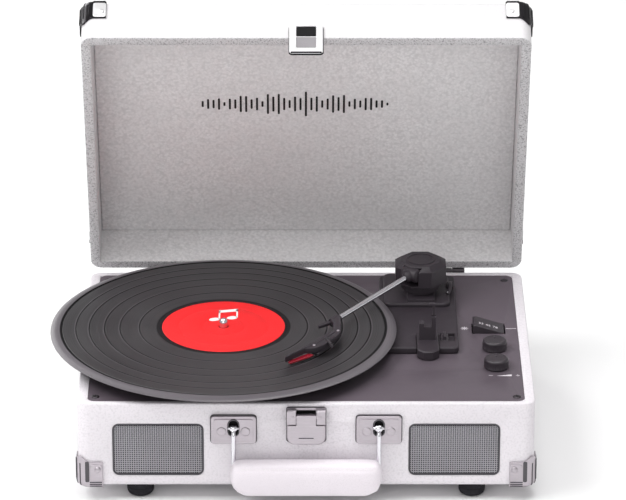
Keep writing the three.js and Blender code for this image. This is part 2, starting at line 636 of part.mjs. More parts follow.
// The padded grip: generous lower corners, and a channel for the wire.
function handleGrip() {
  const { wire, wireY, top, back, front, end } = HANDLE;
  const x = BRACKET.x;
  const low = top - 13;
  const pad = upright(roundedRect(2 * end, top, 6.5, 13), 0, back, top / 2, back - front, 6, 2);
  const channel = join(
    barX(-x, x, wireY, low, wire + GAP, 10),
    ...[-x, x].map((centre) => rod(V3(centre, wireY, low), V3(centre, wireY, top + 5), wire + GAP, 10)),
    ...[-x, x].map(
      (centre) => new THREE.SphereGeometry(wire + GAP + 0.1, 10, 6).translate(centre, wireY, low)));
  return cut(pad, channel);
}

// The latch's fixed half: a back plate with two lugs that carry the flap.
function latchPlate() {
  const { halfWidth, neck, bottom, top, pivotY, pivotZ } = LATCH;
  const plate = upright(
    roundedRect(2 * halfWidth, top - bottom, 1.5, 6), 0, -GAP, (top + bottom) / 2, 1.4);
  const window = box(-neck - GAP, neck + GAP, -3, 1, pivotZ - 3.8, 67.9);
  const lugFront = pivotY - 2.6;
  const lugs = [-1, 1].map((side) => {
    const [x0, x1] = side < 0 ? [-halfWidth, -neck - 0.5] : [neck + 0.5, halfWidth];
    const profile = [
      [-1, top], [lugFront + 1, top], [lugFront, top - 1], [lugFront, pivotZ - 5],
      [lugFront + 0.5, pivotZ - 5.5], [-1, pivotZ - 5.5]];
    return sweptX(profile, x0, x1);
  });
  const bore = barX(-neck - 4, neck + 4, pivotY, pivotZ, 1.5, 12);
  return cut(join(cut(plate, window), ...lugs), bore);
}

// The latch's flap: it lies flat over the plate and swings up about its two trunnions.
function latchFlap() {
  const { halfWidth, neck, bottom, pivotY, pivotZ } = LATCH;
  const height = pivotZ - 6.2 - bottom;
  const face = upright(
    roundedRect(2 * halfWidth, height, 1, 6), 0, pivotY + 2.3, bottom + height / 2, 4.9, 0.6);
  const slit = box(-6, 6, pivotY - 3.5, pivotY - 1.8, bottom + 5.2, bottom + 5.9);
  return join(
    cut(face, slit),
    box(-neck, neck, pivotY - 2.5, pivotY + 2.3, bottom + height - 1, pivotZ + 2.4),
    barX(-neck, neck, pivotY, pivotZ, 2.5),
    barX(-neck - 3.5, neck + 3.5, pivotY, pivotZ, 1.3, 12));
}

// ---------------------------------------------------------------- hinges
// In the hinge's own frame the pin lies on X = 0, and +Y points away from the case.
function hingeLeaf(down) {
  const { width, barrel, pin, leaf, tongue, offset } = HINGE;
  const [z0, z1] = down ? [-leaf, 0.2] : [-0.2, leaf];
  const plate = box(-width / 2, width / 2, -offset + GAP, -offset + GAP + 1.3, z0, z1);
  const half = tongue / 2;
  if (down) {
    const outerParts = [[-width / 2, -half - GAP], [half + GAP, width / 2]];
    const relief = outerParts.map(
      ([x0, x1]) => box(x0 - 1, x1 + (x1 > 0 ? 1 : 0), -offset, barrel + 1, -barrel - 0.5, 2));
    const middle = barX(-half, half, 0, 0, barrel);
    return join(cut(plate, ...relief), middle, barX(-width / 2 + 0.5, width / 2 - 0.5, 0, 0, pin, 12));
  }
  const relief = box(-half - GAP, half + GAP, -offset, barrel + 1, -2, barrel + 0.6);
  const knuckles = [[-width / 2, -half - GAP], [half + GAP, width / 2]].map(
    ([x0, x1]) => barX(x0, x1, 0, 0, barrel));
  const bore = barX(-width / 2 - 1, width / 2 + 1, 0, 0, pin + 0.15, 12);
  return cut(join(plate, ...knuckles), relief, bore);
}

// ---------------------------------------------------------------- lid
// The lid is drawn closed, from the hinge axis: y runs from -offset at its back to its front.
function lidShell() {
  const { height, wall, top, edge } = LID;
  const block = caseBlock(height, edge);
  const cavity = box(
    -CASE.width / 2 + wall, CASE.width / 2 - wall, wall, CASE.depth - wall, top, height + 1);
  return closedLid(cut(block, cavity));
}

// A lid block is drawn top side down like the base, then turned over onto the hinge.
function closedLid(geometry) {
  return geometry
    .rotateY(Math.PI)
    .translate(0, -CASE.depth - HINGE.offset, LID.height + GAP / 2);
}

function lidLining() {
  const inset = LID.wall + GAP;
  const outer = LID.top + GAP;
  return closedLid(box(
    -CASE.width / 2 + inset, CASE.width / 2 - inset, inset, CASE.depth - inset, outer, outer + 1.5));
}

// The lid's half of the latch: a framed plate over the rim. Its window has a thin web behind it,
// which is thicker below the rim, and the flap's hook pulls on the bar under the window.
function lidHasp() {
  const { width, onLid, below, thickness, web, halfWindow, bar, topBar } = HASP;
  const front = -CASE.depth - HINGE.offset - GAP;
  const low = GAP / 2 - below;
  const high = GAP / 2 + onLid;
  const face = front - thickness;
  const plate = upright(roundedRect(width, high - low, 2.5), 0, front, (low + high) / 2, thickness, 0.5);
  const window = box(-halfWindow, halfWindow, face - 1, front - web, low + bar, high - topBar);
  const tongue = box(-halfWindow - 0.5, halfWindow + 0.5, face + 0.7, front - 0.2, low + bar - 0.5, GAP / 2);
  return join(cut(plate, window), tongue);
}

// ---------------------------------------------------------------- assembly
function buildBase() {
  add('base_box', baseBox(), 'whiteVinyl');
  add('deck_plate', deckPlate(), 'deck');
  add('transit_screw', transitScrew(), 'darkMetal');
  for (const [word, side] of SIDES) {
    add(`speaker_grille_${word}`, grille(), 'grille').position.set(side * GRILLE.x, 0, GRILLE.z);
    add(`speaker_${word}`, speaker(), 'darkMetal').position.set(side * GRILLE.x, CASE.wall + GAP, GRILLE.z);
    add(`handle_bracket_${word}`, handleBracket().translate(side < 0 ? -2 * BRACKET.x : 0, 0, 0), 'nickel');
    const hinge = add(`hinge_leaf_base_${word}`, hingeLeaf(true), 'darkMetal');
    hinge.position.set(side * HINGE.x, HINGE_Y, HINGE_Z);
    for (const [end, atBack] of ENDS) {
      const y = atBack ? CASE.depth - FOOT.inset : FOOT.inset;
      add(`foot_${end}_${word}`, foot(), 'rubber').position.set(side * FOOT.x, y, 0);
      add(`base_cap_${end}_${word}`, cornerCap(CASE.height, CASE.edge, side, atBack), 'nickel');
    }
  }
  add('latch_plate', latchPlate(), 'nickel');
  add('latch_flap', latchFlap(), 'nickel');
  add('handle_frame', handleFrame(), 'steel');
  add('handle_grip', handleGrip(), 'whiteLeatherette');
  add('jack_panel', jackPanel(), 'armPlastic');
  add('dc_jack', dcJack(), 'armPlastic');
  add('line_out_block', lineOutBlock(), 'armPlastic');
}

function buildDrive() {
  add('platter_bearing', platterBearing(), 'darkMetal');
  add('spindle', spindle(), 'steel');
  add('platter', platter(), 'deck');
  add('platter_mat', platterMat(), 'rubber');
  add('record', record(), 'record');
  add('record_label', recordLabel(), 'label');
  add('drive_belt', driveBelt(), 'rubber');
  add('motor_pulley', motorPulley(), 'steel');
  add('motor', motor(), 'darkMetal');
  add('main_board', mainBoard(), 'board');
}

function buildControls() {
  add('control_board', controlBoard(), 'board');
  add('mode_knob', knob(KNOB.modeY), 'knobPlastic');
  add('volume_knob', knob(KNOB.volumeY), 'knobPlastic');
  add('speed_rocker', speedRocker(), 'knobPlastic');
}

function buildTonearm() {
  add('tonearm_base', tonearmBase(), 'armPlastic');
  add('tonearm_head', armHead(), 'armPlastic');
  add('tonearm_tube', armTube(), 'steel');
  add('headshell', headshell(), 'armPlastic');
  add('cartridge', cartridge(), 'armPlastic');
  add('stylus', stylus(), 'stylusRed');
  add('arm_rest', armRest(), 'armPlastic');
  add('arm_clip', armClip(), 'armPlastic');
  add('cue_lever', cueLever(), 'armPlastic');
  add('auto_stop_lever', autoStopLever(), 'knobPlastic');
}

function buildLid() {
  add('lid_shell', lidShell(), 'whiteVinyl', lid);
  add('lid_lining', lidLining(), 'greyLining', lid);
  for (const [word, side] of SIDES) {
    add(`hinge_leaf_lid_${word}`, hingeLeaf(false), 'darkMetal', lid).position.x = side * HINGE.x;
    for (const [end, atBack] of ENDS) {
      add(`lid_cap_${end}_${word}`, closedLid(cornerCap(LID.height, LID.edge, -side, atBack)), 'nickel', lid);
    }
  }
  add('lid_hasp', lidHasp(), 'nickel', lid);
  lid.position.set(0, HINGE_Y, HINGE_Z);
  lid.rotation.x = -rad(LID.open);
  player.add(lid);
}

buildBase();
buildDrive();
buildControls();
buildTonearm();
buildLid();
player.position.set(-ORIGIN.x, -ORIGIN.y, -ORIGIN.z);

export default player;
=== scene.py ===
import math
import random

import bmesh
import bpy
from mathutils import Matrix, Vector

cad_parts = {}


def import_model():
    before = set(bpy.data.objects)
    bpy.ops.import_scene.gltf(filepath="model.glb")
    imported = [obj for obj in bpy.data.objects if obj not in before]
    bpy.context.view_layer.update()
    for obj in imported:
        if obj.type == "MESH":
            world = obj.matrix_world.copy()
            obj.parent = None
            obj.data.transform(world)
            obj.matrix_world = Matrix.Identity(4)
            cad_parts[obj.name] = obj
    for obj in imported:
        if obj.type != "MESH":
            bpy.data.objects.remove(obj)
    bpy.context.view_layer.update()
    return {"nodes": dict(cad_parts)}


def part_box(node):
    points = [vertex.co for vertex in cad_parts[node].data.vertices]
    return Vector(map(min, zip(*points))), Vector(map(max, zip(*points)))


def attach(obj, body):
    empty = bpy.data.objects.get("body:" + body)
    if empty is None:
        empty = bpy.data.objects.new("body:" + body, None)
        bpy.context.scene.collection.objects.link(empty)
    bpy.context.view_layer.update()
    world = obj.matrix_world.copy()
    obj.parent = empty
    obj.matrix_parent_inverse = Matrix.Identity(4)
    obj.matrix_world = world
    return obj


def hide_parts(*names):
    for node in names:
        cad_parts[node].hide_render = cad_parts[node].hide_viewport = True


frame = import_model()
NODES = frame["nodes"]

BASE_LOW, BASE_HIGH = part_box("base_box")
ORIGIN = Vector(((BASE_LOW.x + BASE_HIGH.x) / 2, BASE_LOW.y, BASE_LOW.z))
MM = 0.001

# ---------------------------------------------------------------- driving dimensions
CASE = dict(width=356.0, depth=256.0, height=71.5, wall=8.0, floor=6.0, corner=9.0, edge=5.0)
LID = dict(height=44.5, wall=8.0, top=6.0, edge=7.0, open=math.radians(68.5))
HINGE_Y, HINGE_Z = 258.6, 71.65
DECK = dict(top=71.2, thick=2.9, half=169.7, front=4.5, back=249.5)
DISC = dict(x=-65.9, y=116.0, radius=138.0, bottom=11.3, top=14.0)
GRILLE = dict(width=70.8, height=44.0, x=115.3, z=32.0, corner=5.0)
BRACKET = dict(x=56.5, z=50.0, width=35.0, height=23.5, thick=3.5)
GRIP = dict(half=58.5, top=29.0, back=-2.5, front=-20.0)
HANDLE_PIN = dict(y=-3.7, z=52.0)
SEAM_Z = 23.6
LATCH = dict(half=15.0, neck=7.6, bottom=39.6, top=68.5, window_top=67.9, pivot_y=-4.7, pivot_z=61.8)
ARM = dict(x=93.0, y=198.0, bearing=math.radians(-129.2), slope=math.radians(4),
           pitch=(85.2, 182.6, 30.2), length=93.5, yaw=math.radians(5))
KNOB = dict(x=150.0, radius=9.75, height=8.0, mode_y=103.0, volume_y=68.0)
TRACK_GAPS = (67.0, 82.5, 94.8, 107.0, 117.5)
TRANSIT = (37.0, 224.0)
HINGE_X = 116.0
FOOT = dict(x=130.0, inset=15.0)
FACE = -0.3
ROCKER = dict(x=146.5, y=142.5, length=25.0, width=19.0, pivot_z=68.0)


def at(x, y, z):
    return ORIGIN + Vector((x, y, z)) * MM


CASE_FRAME = Matrix.Translation(ORIGIN) @ Matrix.Scale(MM, 4)
# The lid is drawn closed, from its hinge axis: y runs back to front below zero, z up.
LID_FRAME = (Matrix.Translation(at(0, HINGE_Y, HINGE_Z)) @ Matrix.Rotation(-LID["open"], 4, "X")
             @ Matrix.Scale(MM, 4))


def arm_frame():
    x, y, z = ARM["pitch"]
    place = Matrix.Translation(at(x, y, DECK["top"] + z)) @ Matrix.Scale(MM, 4)
    return place @ Matrix.Rotation(ARM["bearing"], 4, "Z") @ Matrix.Rotation(ARM["slope"], 4, "Y")


ARM_FRAME = arm_frame()
SHELL_FRAME = ARM_FRAME @ Matrix.Translation((ARM["length"], 0, 0)) @ Matrix.Rotation(ARM["yaw"], 4, "Z")


# ---------------------------------------------------------------- camera
def make_camera():
    camera = bpy.data.objects.new("camera", bpy.data.cameras.new("camera"))
    bpy.context.scene.collection.objects.link(camera)
    camera.location = at(0, -3156.5, 1551.9)
    camera.rotation_euler = (math.radians(90 - 23.17), 0, 0)
    camera.data.lens = 258.5
    camera.data.sensor_width = 36
    camera.data.shift_x = 0.0109
    camera.data.clip_end = 30
    bpy.context.scene.camera = camera


make_camera()


# ---------------------------------------------------------------- material nodes
def srgb(*rgb):
    """0 to 255 screen values as a linear colour."""
    linear = [c / 255 / 12.92 if c <= 10 else ((c / 255 + 0.055) / 1.055) ** 2.4 for c in rgb]
    return (*linear, 1.0)


def shade(colour, factor):
    return (*[min(1.0, c * factor) for c in colour[:3]], 1.0)


class Surface:
    """One principled material. Lengths in its patterns are millimetres on the object."""

    def __init__(self, name, colour, rough, metal=0.0, specular=0.5):
        self.colour = colour
        self.material = bpy.data.materials.new(name)
        self.material.use_nodes = True
        self.material.diffuse_color = colour
        self.tree = self.material.node_tree
        self.bsdf = self.tree.nodes["Principled BSDF"]
        for socket, value in (("Base Color", colour), ("Roughness", rough), ("Metallic", metal),
                              ("Specular IOR Level", specular)):
            self.bsdf.inputs[socket].default_value = value
        self.place = self.node("ShaderNodeTexCoord").outputs["Object"]
        self.place = self.stretched(1000, 1000, 1000)

    def node(self, kind, inputs=None, **settings):
        """A new node. Each of its inputs is given a plain value, or another node's output to follow."""
        made = self.tree.nodes.new(kind)
        for key, value in settings.items():
            setattr(made, key, value)
        for key, value in (inputs or {}).items():
            if isinstance(value, bpy.types.NodeSocket):
                self.tree.links.new(value, made.inputs[key])
            else:
                made.inputs[key].default_value = value
        return made

    def stretched(self, x, y, z):
        return self.node("ShaderNodeMapping", {"Scale": (x, y, z), "Vector": self.place}).outputs["Vector"]

    def noise(self, size, detail=2.0, roughness=0.5, place=None):
        inputs = {"Scale": 1 / size, "Detail": detail, "Roughness": roughness, "Vector": place or self.place}
        return self.node("ShaderNodeTexNoise", inputs).outputs["Fac"]

    def ripple(self, distance, scale, detail):
        """A noise along one distance only."""
        inputs = {"Scale": scale, "Detail": detail, "W": distance}
        return self.node("ShaderNodeTexNoise", inputs, noise_dimensions="1D").outputs["Fac"]

    def warped(self, size, amount):
        """The place, pushed about by a noise, so that cells lose their straight sides."""
        noise = self.node("ShaderNodeTexNoise", {"Scale": 1 / size, "Vector": self.place})
        push = self.vector_math("MULTIPLY", noise.outputs["Color"], (amount, amount, amount))
        return self.vector_math("ADD", self.place, push)

    def cells(self, size, feature, place=None, randomness=1.0):
        inputs = {"Scale": 1 / size, "Randomness": randomness, "Vector": place or self.place}
        return self.node("ShaderNodeTexVoronoi", inputs, feature=feature).outputs["Distance"]

    def math(self, operation, a, b=0.0):
        return self.node("ShaderNodeMath", {0: a, 1: b}, operation=operation).outputs["Value"]

    def vector_math(self, operation, a, b=(0, 0, 0), output="Vector"):
        return self.node("ShaderNodeVectorMath", {0: a, 1: b}, operation=operation).outputs[output]

    def span(self, value, low, high, to_low=0.0, to_high=1.0):
        """Goes smoothly from to_low to to_high as the value goes from low to high, which may be reversed."""
        inputs = {"Value": value, "From Min": low, "From Max": high, "To Min": to_low, "To Max": to_high}
        return self.node("ShaderNodeMapRange", inputs, interpolation_type="SMOOTHSTEP").outputs["Result"]

    def blend(self, factor, a, b):
        inputs = {"Factor": factor, "A": a, "B": b}
        return self.node("ShaderNodeMix", inputs, data_type="RGBA").outputs["Result"]

    def tones(self, pattern, dark, light):
        """The surface's colour, from a darker to a lighter shade over the middle of a pattern."""
        return self.blend(self.span(pattern, 0.3, 0.7), shade(self.colour, dark), shade(self.colour, light))

    def edges(self, radius):
        """0 on flat ground, rising to 1 on edges sharper than the radius."""
        rounded = self.node("ShaderNodeBevel", {"Radius": radius * MM}, samples=4).outputs["Normal"]
        flat = self.node("ShaderNodeNewGeometry").outputs["Normal"]
        return self.span(self.vector_math("DOT_PRODUCT", rounded, flat, "Value"), 0.995, 0.9)

    def bump(self, height, depth):
        made = self.node("ShaderNodeBump", {"Strength": 1.0, "Distance": depth * MM, "Height": height})
        self.drive("Normal", made.outputs["Normal"])

    def drive(self, socket, value):
        self.tree.links.new(value, self.bsdf.inputs[socket])

    def tint(self, colour):
        self.drive("Base Color", colour)

    def roughen(self, value):
        self.drive("Roughness", value)


# ---------------------------------------------------------------- materials
def vinyl(name, colour, cell, depth, rough, crease_shade):
    """Embossed vinyl over board: pebbles whose creases are darkened with painted shade, and darker patches
    along the edges.
    """
    s = Surface(name, colour, rough, specular=0.42)
    pebble = s.cells(cell, "SMOOTH_F1", s.warped(cell * 2.1, cell * 0.9))
    fine = s.noise(cell * 0.35, 3, 0.6)
    creases = s.span(pebble, 0.35, 0.72)
    # Painted shade: the creases between the pebbles are darkened.
    grained = s.blend(creases, s.tones(s.noise(60, 3, 0.55), 0.975, 1.02), shade(colour, crease_shade))
    # The edges are darkened in patches.
    dark_edges = s.math("MULTIPLY", s.edges(1.6), s.span(s.noise(9, 4, 0.6), 0.42, 0.72))
    s.tint(s.blend(s.math("MULTIPLY", dark_edges, 0.35), grained, shade(colour, 0.86)))
    s.roughen(s.math("ADD", s.math("MULTIPLY", creases, 0.12), rough - 0.06))
    s.bump(s.math("ADD", s.math("MULTIPLY", pebble, -1.0), s.math("MULTIPLY", fine, 0.35)), depth)
    return s.material


def lining_paper(name, colour):
    """Matt paper embossed like leather: soft-edged pebbles whose valleys are darkened with painted shade, and
    a mottled tone.
    """
    s = Surface(name, colour, 0.85, specular=0.2)
    grain = s.noise(1.1, 4, 0.7)
    pebble = s.cells(2.2, "SMOOTH_F1", s.warped(4.2, 2.4))
    mottle = s.span(s.noise(2.6, 4, 0.75), 0.35, 0.65)
    mottled = s.blend(mottle, shade(colour, 0.86), s.tones(s.noise(45, 4, 0.6), 0.95, 1.03))
    # Painted shade: the valleys between the pebbles are darkened.
    s.tint(s.blend(s.span(pebble, 0.3, 0.75), mottled, shade(colour, 0.8)))
    s.roughen(s.span(grain, 0.2, 0.8, 0.78, 0.92))
    s.bump(s.math("ADD", s.math("MULTIPLY", grain, 0.4), s.math("MULTIPLY", pebble, -1.0)), 0.35)
    return s.material


def moulded(name, colour, rough, grain=0.5, depth=0.02, specular=0.5, edge_lightening=1.6):
    """Injection-moulded plastic with a spark-eroded grain, a little paler on its edges."""
    s = Surface(name, colour, rough, specular=specular)
    sparks = s.noise(grain, 4, 0.65)
    handled = s.noise(26, 4, 0.6)
    speckled = s.blend(s.span(sparks, 0.45, 0.75), s.tones(handled, 0.94, 1.06), shade(colour, 1.12))
    s.tint(s.blend(s.math("MULTIPLY", s.edges(0.7), 0.5), speckled, shade(colour, edge_lightening)))
    s.roughen(s.span(handled, 0.25, 0.75, rough - 0.06, rough + 0.07))
    s.bump(sparks, depth)
    return s.material


def metal(name, colour, rough, grain=(0.05, 1, 1), edge_lightening=1.12, scratch=0.012):
    """Plated steel: a fine brushed grain one way, smudges, and brighter edges, which on the dark cap metal
    are a painted highlight.
    """
    s = Surface(name, colour, rough, metal=1.0)
    brushed = s.noise(0.35, 3, 0.6, s.stretched(*grain))
    body = s.tones(brushed, 0.95, 1.04)
    s.tint(s.blend(s.math("MULTIPLY", s.edges(0.5), 0.6), body, shade(colour, edge_lightening)))
    s.roughen(s.span(s.noise(14, 4, 0.6), 0.25, 0.75, max(0.04, rough - 0.06), rough + 0.08))
    s.bump(brushed, scratch)
    return s.material


def pressed_vinyl(name, colour):
    """Record vinyl: micro grooves round the spindle that spread the light across them, with dull gaps, and
    light and shade painted into the colour.
    """
    s = Surface(name, colour, 0.34, specular=0.6)
    centre = at(DISC["x"], DISC["y"], 0) / MM
    offset = s.vector_math("SUBTRACT", s.place, (centre.x, centre.y, 0))
    radius = s.vector_math("LENGTH", s.vector_math("MULTIPLY", offset, (1, 1, 0)), output="Value")
    wobble = s.ripple(radius, 1.3, 3)
    grooved = s.math("MULTIPLY", s.span(radius, 53.5, 54.5), s.span(radius, 129.5, 128.5))
    # Painted sheen: darker and lighter rings across the grooved band.
    fine = s.math("MULTIPLY", s.span(wobble, 0.35, 0.65), grooved)
    tone = s.blend(fine, shade(colour, 0.7), s.tones(s.ripple(radius, 0.12, 1), 0.85, 1.2))

    label_edge = s.span(radius, 53.8, 53.0)
    dull = label_edge
    # Painted shade in each track gap, and a painted highlight on the ring beside it.
    for gap in TRACK_GAPS:
        near = s.span(s.math("ABSOLUTE", s.math("SUBTRACT", radius, gap)), 0.75, 0.35)
        beside = s.span(s.math("ABSOLUTE", s.math("SUBTRACT", radius, gap + 1.1)), 0.5, 0.2)
        dull = s.math("MAXIMUM", dull, near)
        tone = s.blend(beside, s.blend(near, tone, shade(colour, 0.3)), shade(colour, 2.6))
    lead_in = s.math("MULTIPLY", s.span(radius, 128.2, 128.6), s.span(radius, 131.0, 130.4))
    dull = s.math("MAXIMUM", dull, lead_in)
    # Painted shade on the lead-in and round the label, and a painted highlight on the rolled rim.
    for mask, factor in ((lead_in, 0.2), (label_edge, 0.45), (s.span(radius, 130.2, 130.9), 3.6)):
        tone = s.blend(mask, tone, shade(colour, factor))
    dust = s.math("MULTIPLY", s.span(s.noise(0.8, 2, 0.5), 0.7, 0.8), 0.12)
    s.tint(s.blend(dust, tone, srgb(150, 148, 152)))
    s.roughen(s.span(wobble, 0.3, 0.7, 0.3, 0.42))
    s.drive("Specular IOR Level", s.math("SUBTRACT", 0.6, s.math("MULTIPLY", dull, 0.5)))
    s.bump(s.math("MULTIPLY", wobble, grooved), 0.03)
    s.drive("Tangent", s.node("ShaderNodeTangent", direction_type="RADIAL", axis="Z").outputs["Tangent"])
    s.bsdf.inputs["Anisotropic"].default_value = 0.85
    return s.material


def paper(name, colour):
    """Printed paper, slightly uneven along its fibres."""
    s = Surface(name, colour, 0.55, specular=0.35)
    fibres = s.noise(0.6, 5, 0.7, s.stretched(1, 0.35, 1))
    s.tint(s.blend(s.span(fibres, 0.5, 0.8), s.tones(s.noise(20, 3, 0.5), 0.96, 1.03), shade(colour, 1.07)))
    s.roughen(s.span(fibres, 0.3, 0.7, 0.5, 0.63))
    s.bump(fibres, 0.015)
    return s.material


def rubber(name, colour):
    """Matt black rubber or felt, with a pale bloom."""
    s = Surface(name, colour, 0.8, specular=0.3)
    grain = s.noise(0.5, 4, 0.7)
    s.tint(s.blend(s.span(s.noise(7, 3, 0.6), 0.45, 0.75), colour, shade(colour, 1.7)))
    s.roughen(s.span(grain, 0.3, 0.7, 0.7, 0.9))
    s.bump(grain, 0.03)
    return s.material


def ink(name, colour):
    """Screen-printed marks: slightly uneven coverage."""
    s = Surface(name, colour, 0.5, specular=0.4)
    s.tint(s.blend(s.span(s.noise(0.7, 3, 0.6), 0.3, 0.6), shade(colour, 0.86), colour))
    s.bump(s.noise(0.4, 2, 0.5), 0.008)
    return s.material


def board_green(name, colour):
    """Solder-masked board with paler tracks."""
    s = Surface(name, colour, 0.5, specular=0.5)
    tracks = s.cells(4.0, "DISTANCE_TO_EDGE", randomness=0.15)
    s.tint(s.blend(s.span(tracks, 0.08, 0.14), shade(colour, 1.5), colour))
    s.roughen(s.span(s.noise(5), 0.3, 0.7, 0.4, 0.6))
    s.bump(tracks, 0.03)
    return s.material


RECIPES = {
    # For each vinyl the last number sets how far its creases are darkened as painted shade.
    "base_vinyl": (vinyl, (229, 224, 229), 1.35, 0.21, 0.5, 0.91),
    "lid_vinyl": (vinyl, (218, 216, 218), 0.9, 0.08, 0.42, 0.95),
    "rim_vinyl": (vinyl, (202, 200, 202), 0.95, 0.28, 0.6, 0.5),
    "grip_thread": (ink, (236, 232, 234)),
    "grip_vinyl": (vinyl, (230, 223, 229), 0.7, 0.06, 0.4, 0.96),
    "lining": (lining_paper, (230, 228, 229)),
    "deck": (moulded, (92, 83, 91), 0.42, 0.45, 0.02, 0.4, 1.3),
    "platter": (moulded, (70, 66, 70), 0.45),
    "arm_plastic": (moulded, (49, 43, 49), 0.45, 0.6, 0.02, 0.4, 1.5),
    "arm_base": (moulded, (52, 46, 52), 0.5, 0.5, 0.02, 0.35, 1.5),
    "knob_plastic": (moulded, (50, 44, 50), 0.38, 0.4, 0.015, 0.5, 1.7),
    "disc": (pressed_vinyl, (47, 44, 47)),
    "label": (paper, (236, 30, 34)),
    "label_ink": (ink, (250, 246, 244)),
    "deck_ink": (ink, (222, 216, 222)),
    "lid_ink": (ink, (16, 15, 17)),
    "rubber": (rubber, (30, 29, 34)),
    "felt": (rubber, (44, 42, 46)),
    "bezel": (moulded, (70, 68, 73), 0.5, 0.4, 0.02, 0.45, 1.2),
    "mesh_wire": (moulded, (168, 166, 171), 0.5, 0.3, 0.01, 0.5, 1.1),
    "mesh_back": (rubber, (38, 37, 41)),
    "nickel": (metal, (184, 177, 183), 0.34),
    # Painted highlight: a brighter copy of the nickel.
    "bright_plate": (metal, (250, 249, 250), 0.4),
    # Painted dark reflection: a dark copy of the nickel, its edges lightened as a painted highlight.
    "cap_black": (metal, (52, 50, 53), 0.2, (1, 1, 0.1), 1.9, 0.004),
    "tongue_grey": (moulded, (140, 137, 140), 0.5, 0.4, 0.01, 0.4, 1.2),
    # Painted shade: a darker copy of the nickel, for ribs, channels, borders and the eyelets.
    "cap_shade": (metal, (92, 90, 93), 0.42),
    "chrome": (metal, (226, 225, 230), 0.14, (1, 1, 0.1), 1.08, 0.004),
    "dark_metal": (metal, (84, 80, 84), 0.45),
    "red_plastic": (moulded, (138, 24, 40), 0.3, 0.4, 0.008, 0.5, 1.1),
    "white_plastic": (moulded, (225, 223, 220), 0.4, 0.4, 0.01, 0.5, 1.02),
    # Painted shade: black sheets and strips put where shade falls.
    "black_hole": (rubber, (12, 11, 13)),
    "board": (board_green, (47, 107, 69)),
}
LOOKS = {name: make(name, srgb(*rgb), *values) for name, (make, rgb, *values) in RECIPES.items()}


# ---------------------------------------------------------------- mesh tools
def new_object(name, bm, matrix, looks, smooth=35.0):
    """Places a bmesh drawn in millimetres by matrix, shades it smooth up to the given angle."""
    bmesh.ops.transform(bm, matrix=matrix, verts=bm.verts)
    mesh = bpy.data.meshes.new(name)
    bm.to_mesh(mesh)
    bm.free()
    made = bpy.data.objects.new(name, mesh)
    bpy.context.scene.collection.objects.link(made)
    for look in [looks] if isinstance(looks, str) else looks:
        mesh.materials.append(LOOKS[look])
    mesh.shade_smooth()
    mesh.set_sharp_from_angle(angle=math.radians(smooth))
    return made


def soften(piece, width, segments=2, angle=40.0):
    """Rounds the sharp edges of a piece by width millimetres."""
    made = piece.modifiers.new("edge", "BEVEL")
    made.width = width * MM
    made.segments = segments
    made.limit_method = "ANGLE"
    made.angle_limit = math.radians(angle)
    made.use_clamp_overlap = True
    made.miter_outer = "MITER_ARC"
    return piece


def carve(piece, *cutters):
    """Cuts the cutters out of a piece, and removes them."""
    for number, cutter in enumerate(cutters):
        made = piece.modifiers.new(f"cut_{number}", "BOOLEAN")
        made.operation = "DIFFERENCE"
        made.solver = "EXACT"
        made.object = cutter
    bake(piece)
    for cutter in cutters:
        bpy.data.objects.remove(cutter)
    return piece


def bake(piece):
    """Applies a piece's modifiers to its mesh."""
    graph = bpy.context.evaluated_depsgraph_get()
    mesh = bpy.data.meshes.new_from_object(piece.evaluated_get(graph), depsgraph=graph)
    old = piece.data
    piece.modifiers.clear()
    piece.data = mesh
    bpy.data.meshes.remove(old)


def fit(piece, body, stands_for=None):
    """Puts a piece on its body and hides the CAD nodes it stands for."""
    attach(piece, body)
    if stands_for:
        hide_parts(*([stands_for] if isinstance(stands_for, str) else stands_for))
    return piece


def part(name, bm, matrix, look, body, edge=0.0, segments=2, smooth=35.0, cuts=(), node=None):
    """A finished piece: drawn, cut by other meshes in its frame, its edges rounded, and put on its body."""
    made = new_object(name, bm, matrix, look, smooth)
    if cuts:
        carve(made, *[new_object("cutter", cut, matrix, []) for cut in cuts])
    if edge:
        soften(made, edge, segments)
    return fit(made, body, node)


def arc(cx, cy, radius, start, end, steps):
    angles = [math.radians(start + (end - start) * k / steps) for k in range(steps + 1)]
    return [(cx + radius * math.cos(a), cy + radius * math.sin(a)) for a in angles]


def round_rect(width, height, radius, low_radius=None, steps=6):
    """A rectangle's outline with rounded corners, anticlockwise from its lower right."""
    low_radius = radius if low_radius is None else low_radius
    w, h = width / 2, height / 2
    return (arc(w - low_radius, -h + low_radius, low_radius, -90, 0, steps)
            + arc(w - radius, h - radius, radius, 0, 90, steps)
            + arc(-w + radius, h - radius, radius, 90, 180, steps)
            + arc(-w + low_radius, -h + low_radius, low_radius, 180, 270, steps))


def loft(rings, closed_ends=True):
    """Joins rings of the same number of points, each a list of (x, y, z), into one skin."""
    bm = bmesh.new()
    made = [[bm.verts.new(p) for p in ring] for ring in rings]
    count = len(made[0])
    for low, high in zip(made, made[1:]):
        for k in range(count):
            n = (k + 1) % count
            bm.faces.new((low[k], low[n], high[n], high[k]))
    if closed_ends:
        bm.faces.new(list(reversed(made[0])))
        bm.faces.new(made[-1])
    bmesh.ops.remove_doubles(bm, verts=bm.verts, dist=1e-4)
    bmesh.ops.recalc_face_normals(bm, faces=bm.faces)
    return bm


def slab(outline, low, high):
    return loft([[(x, y, low) for x, y in outline], [(x, y, high) for x, y in outline]])


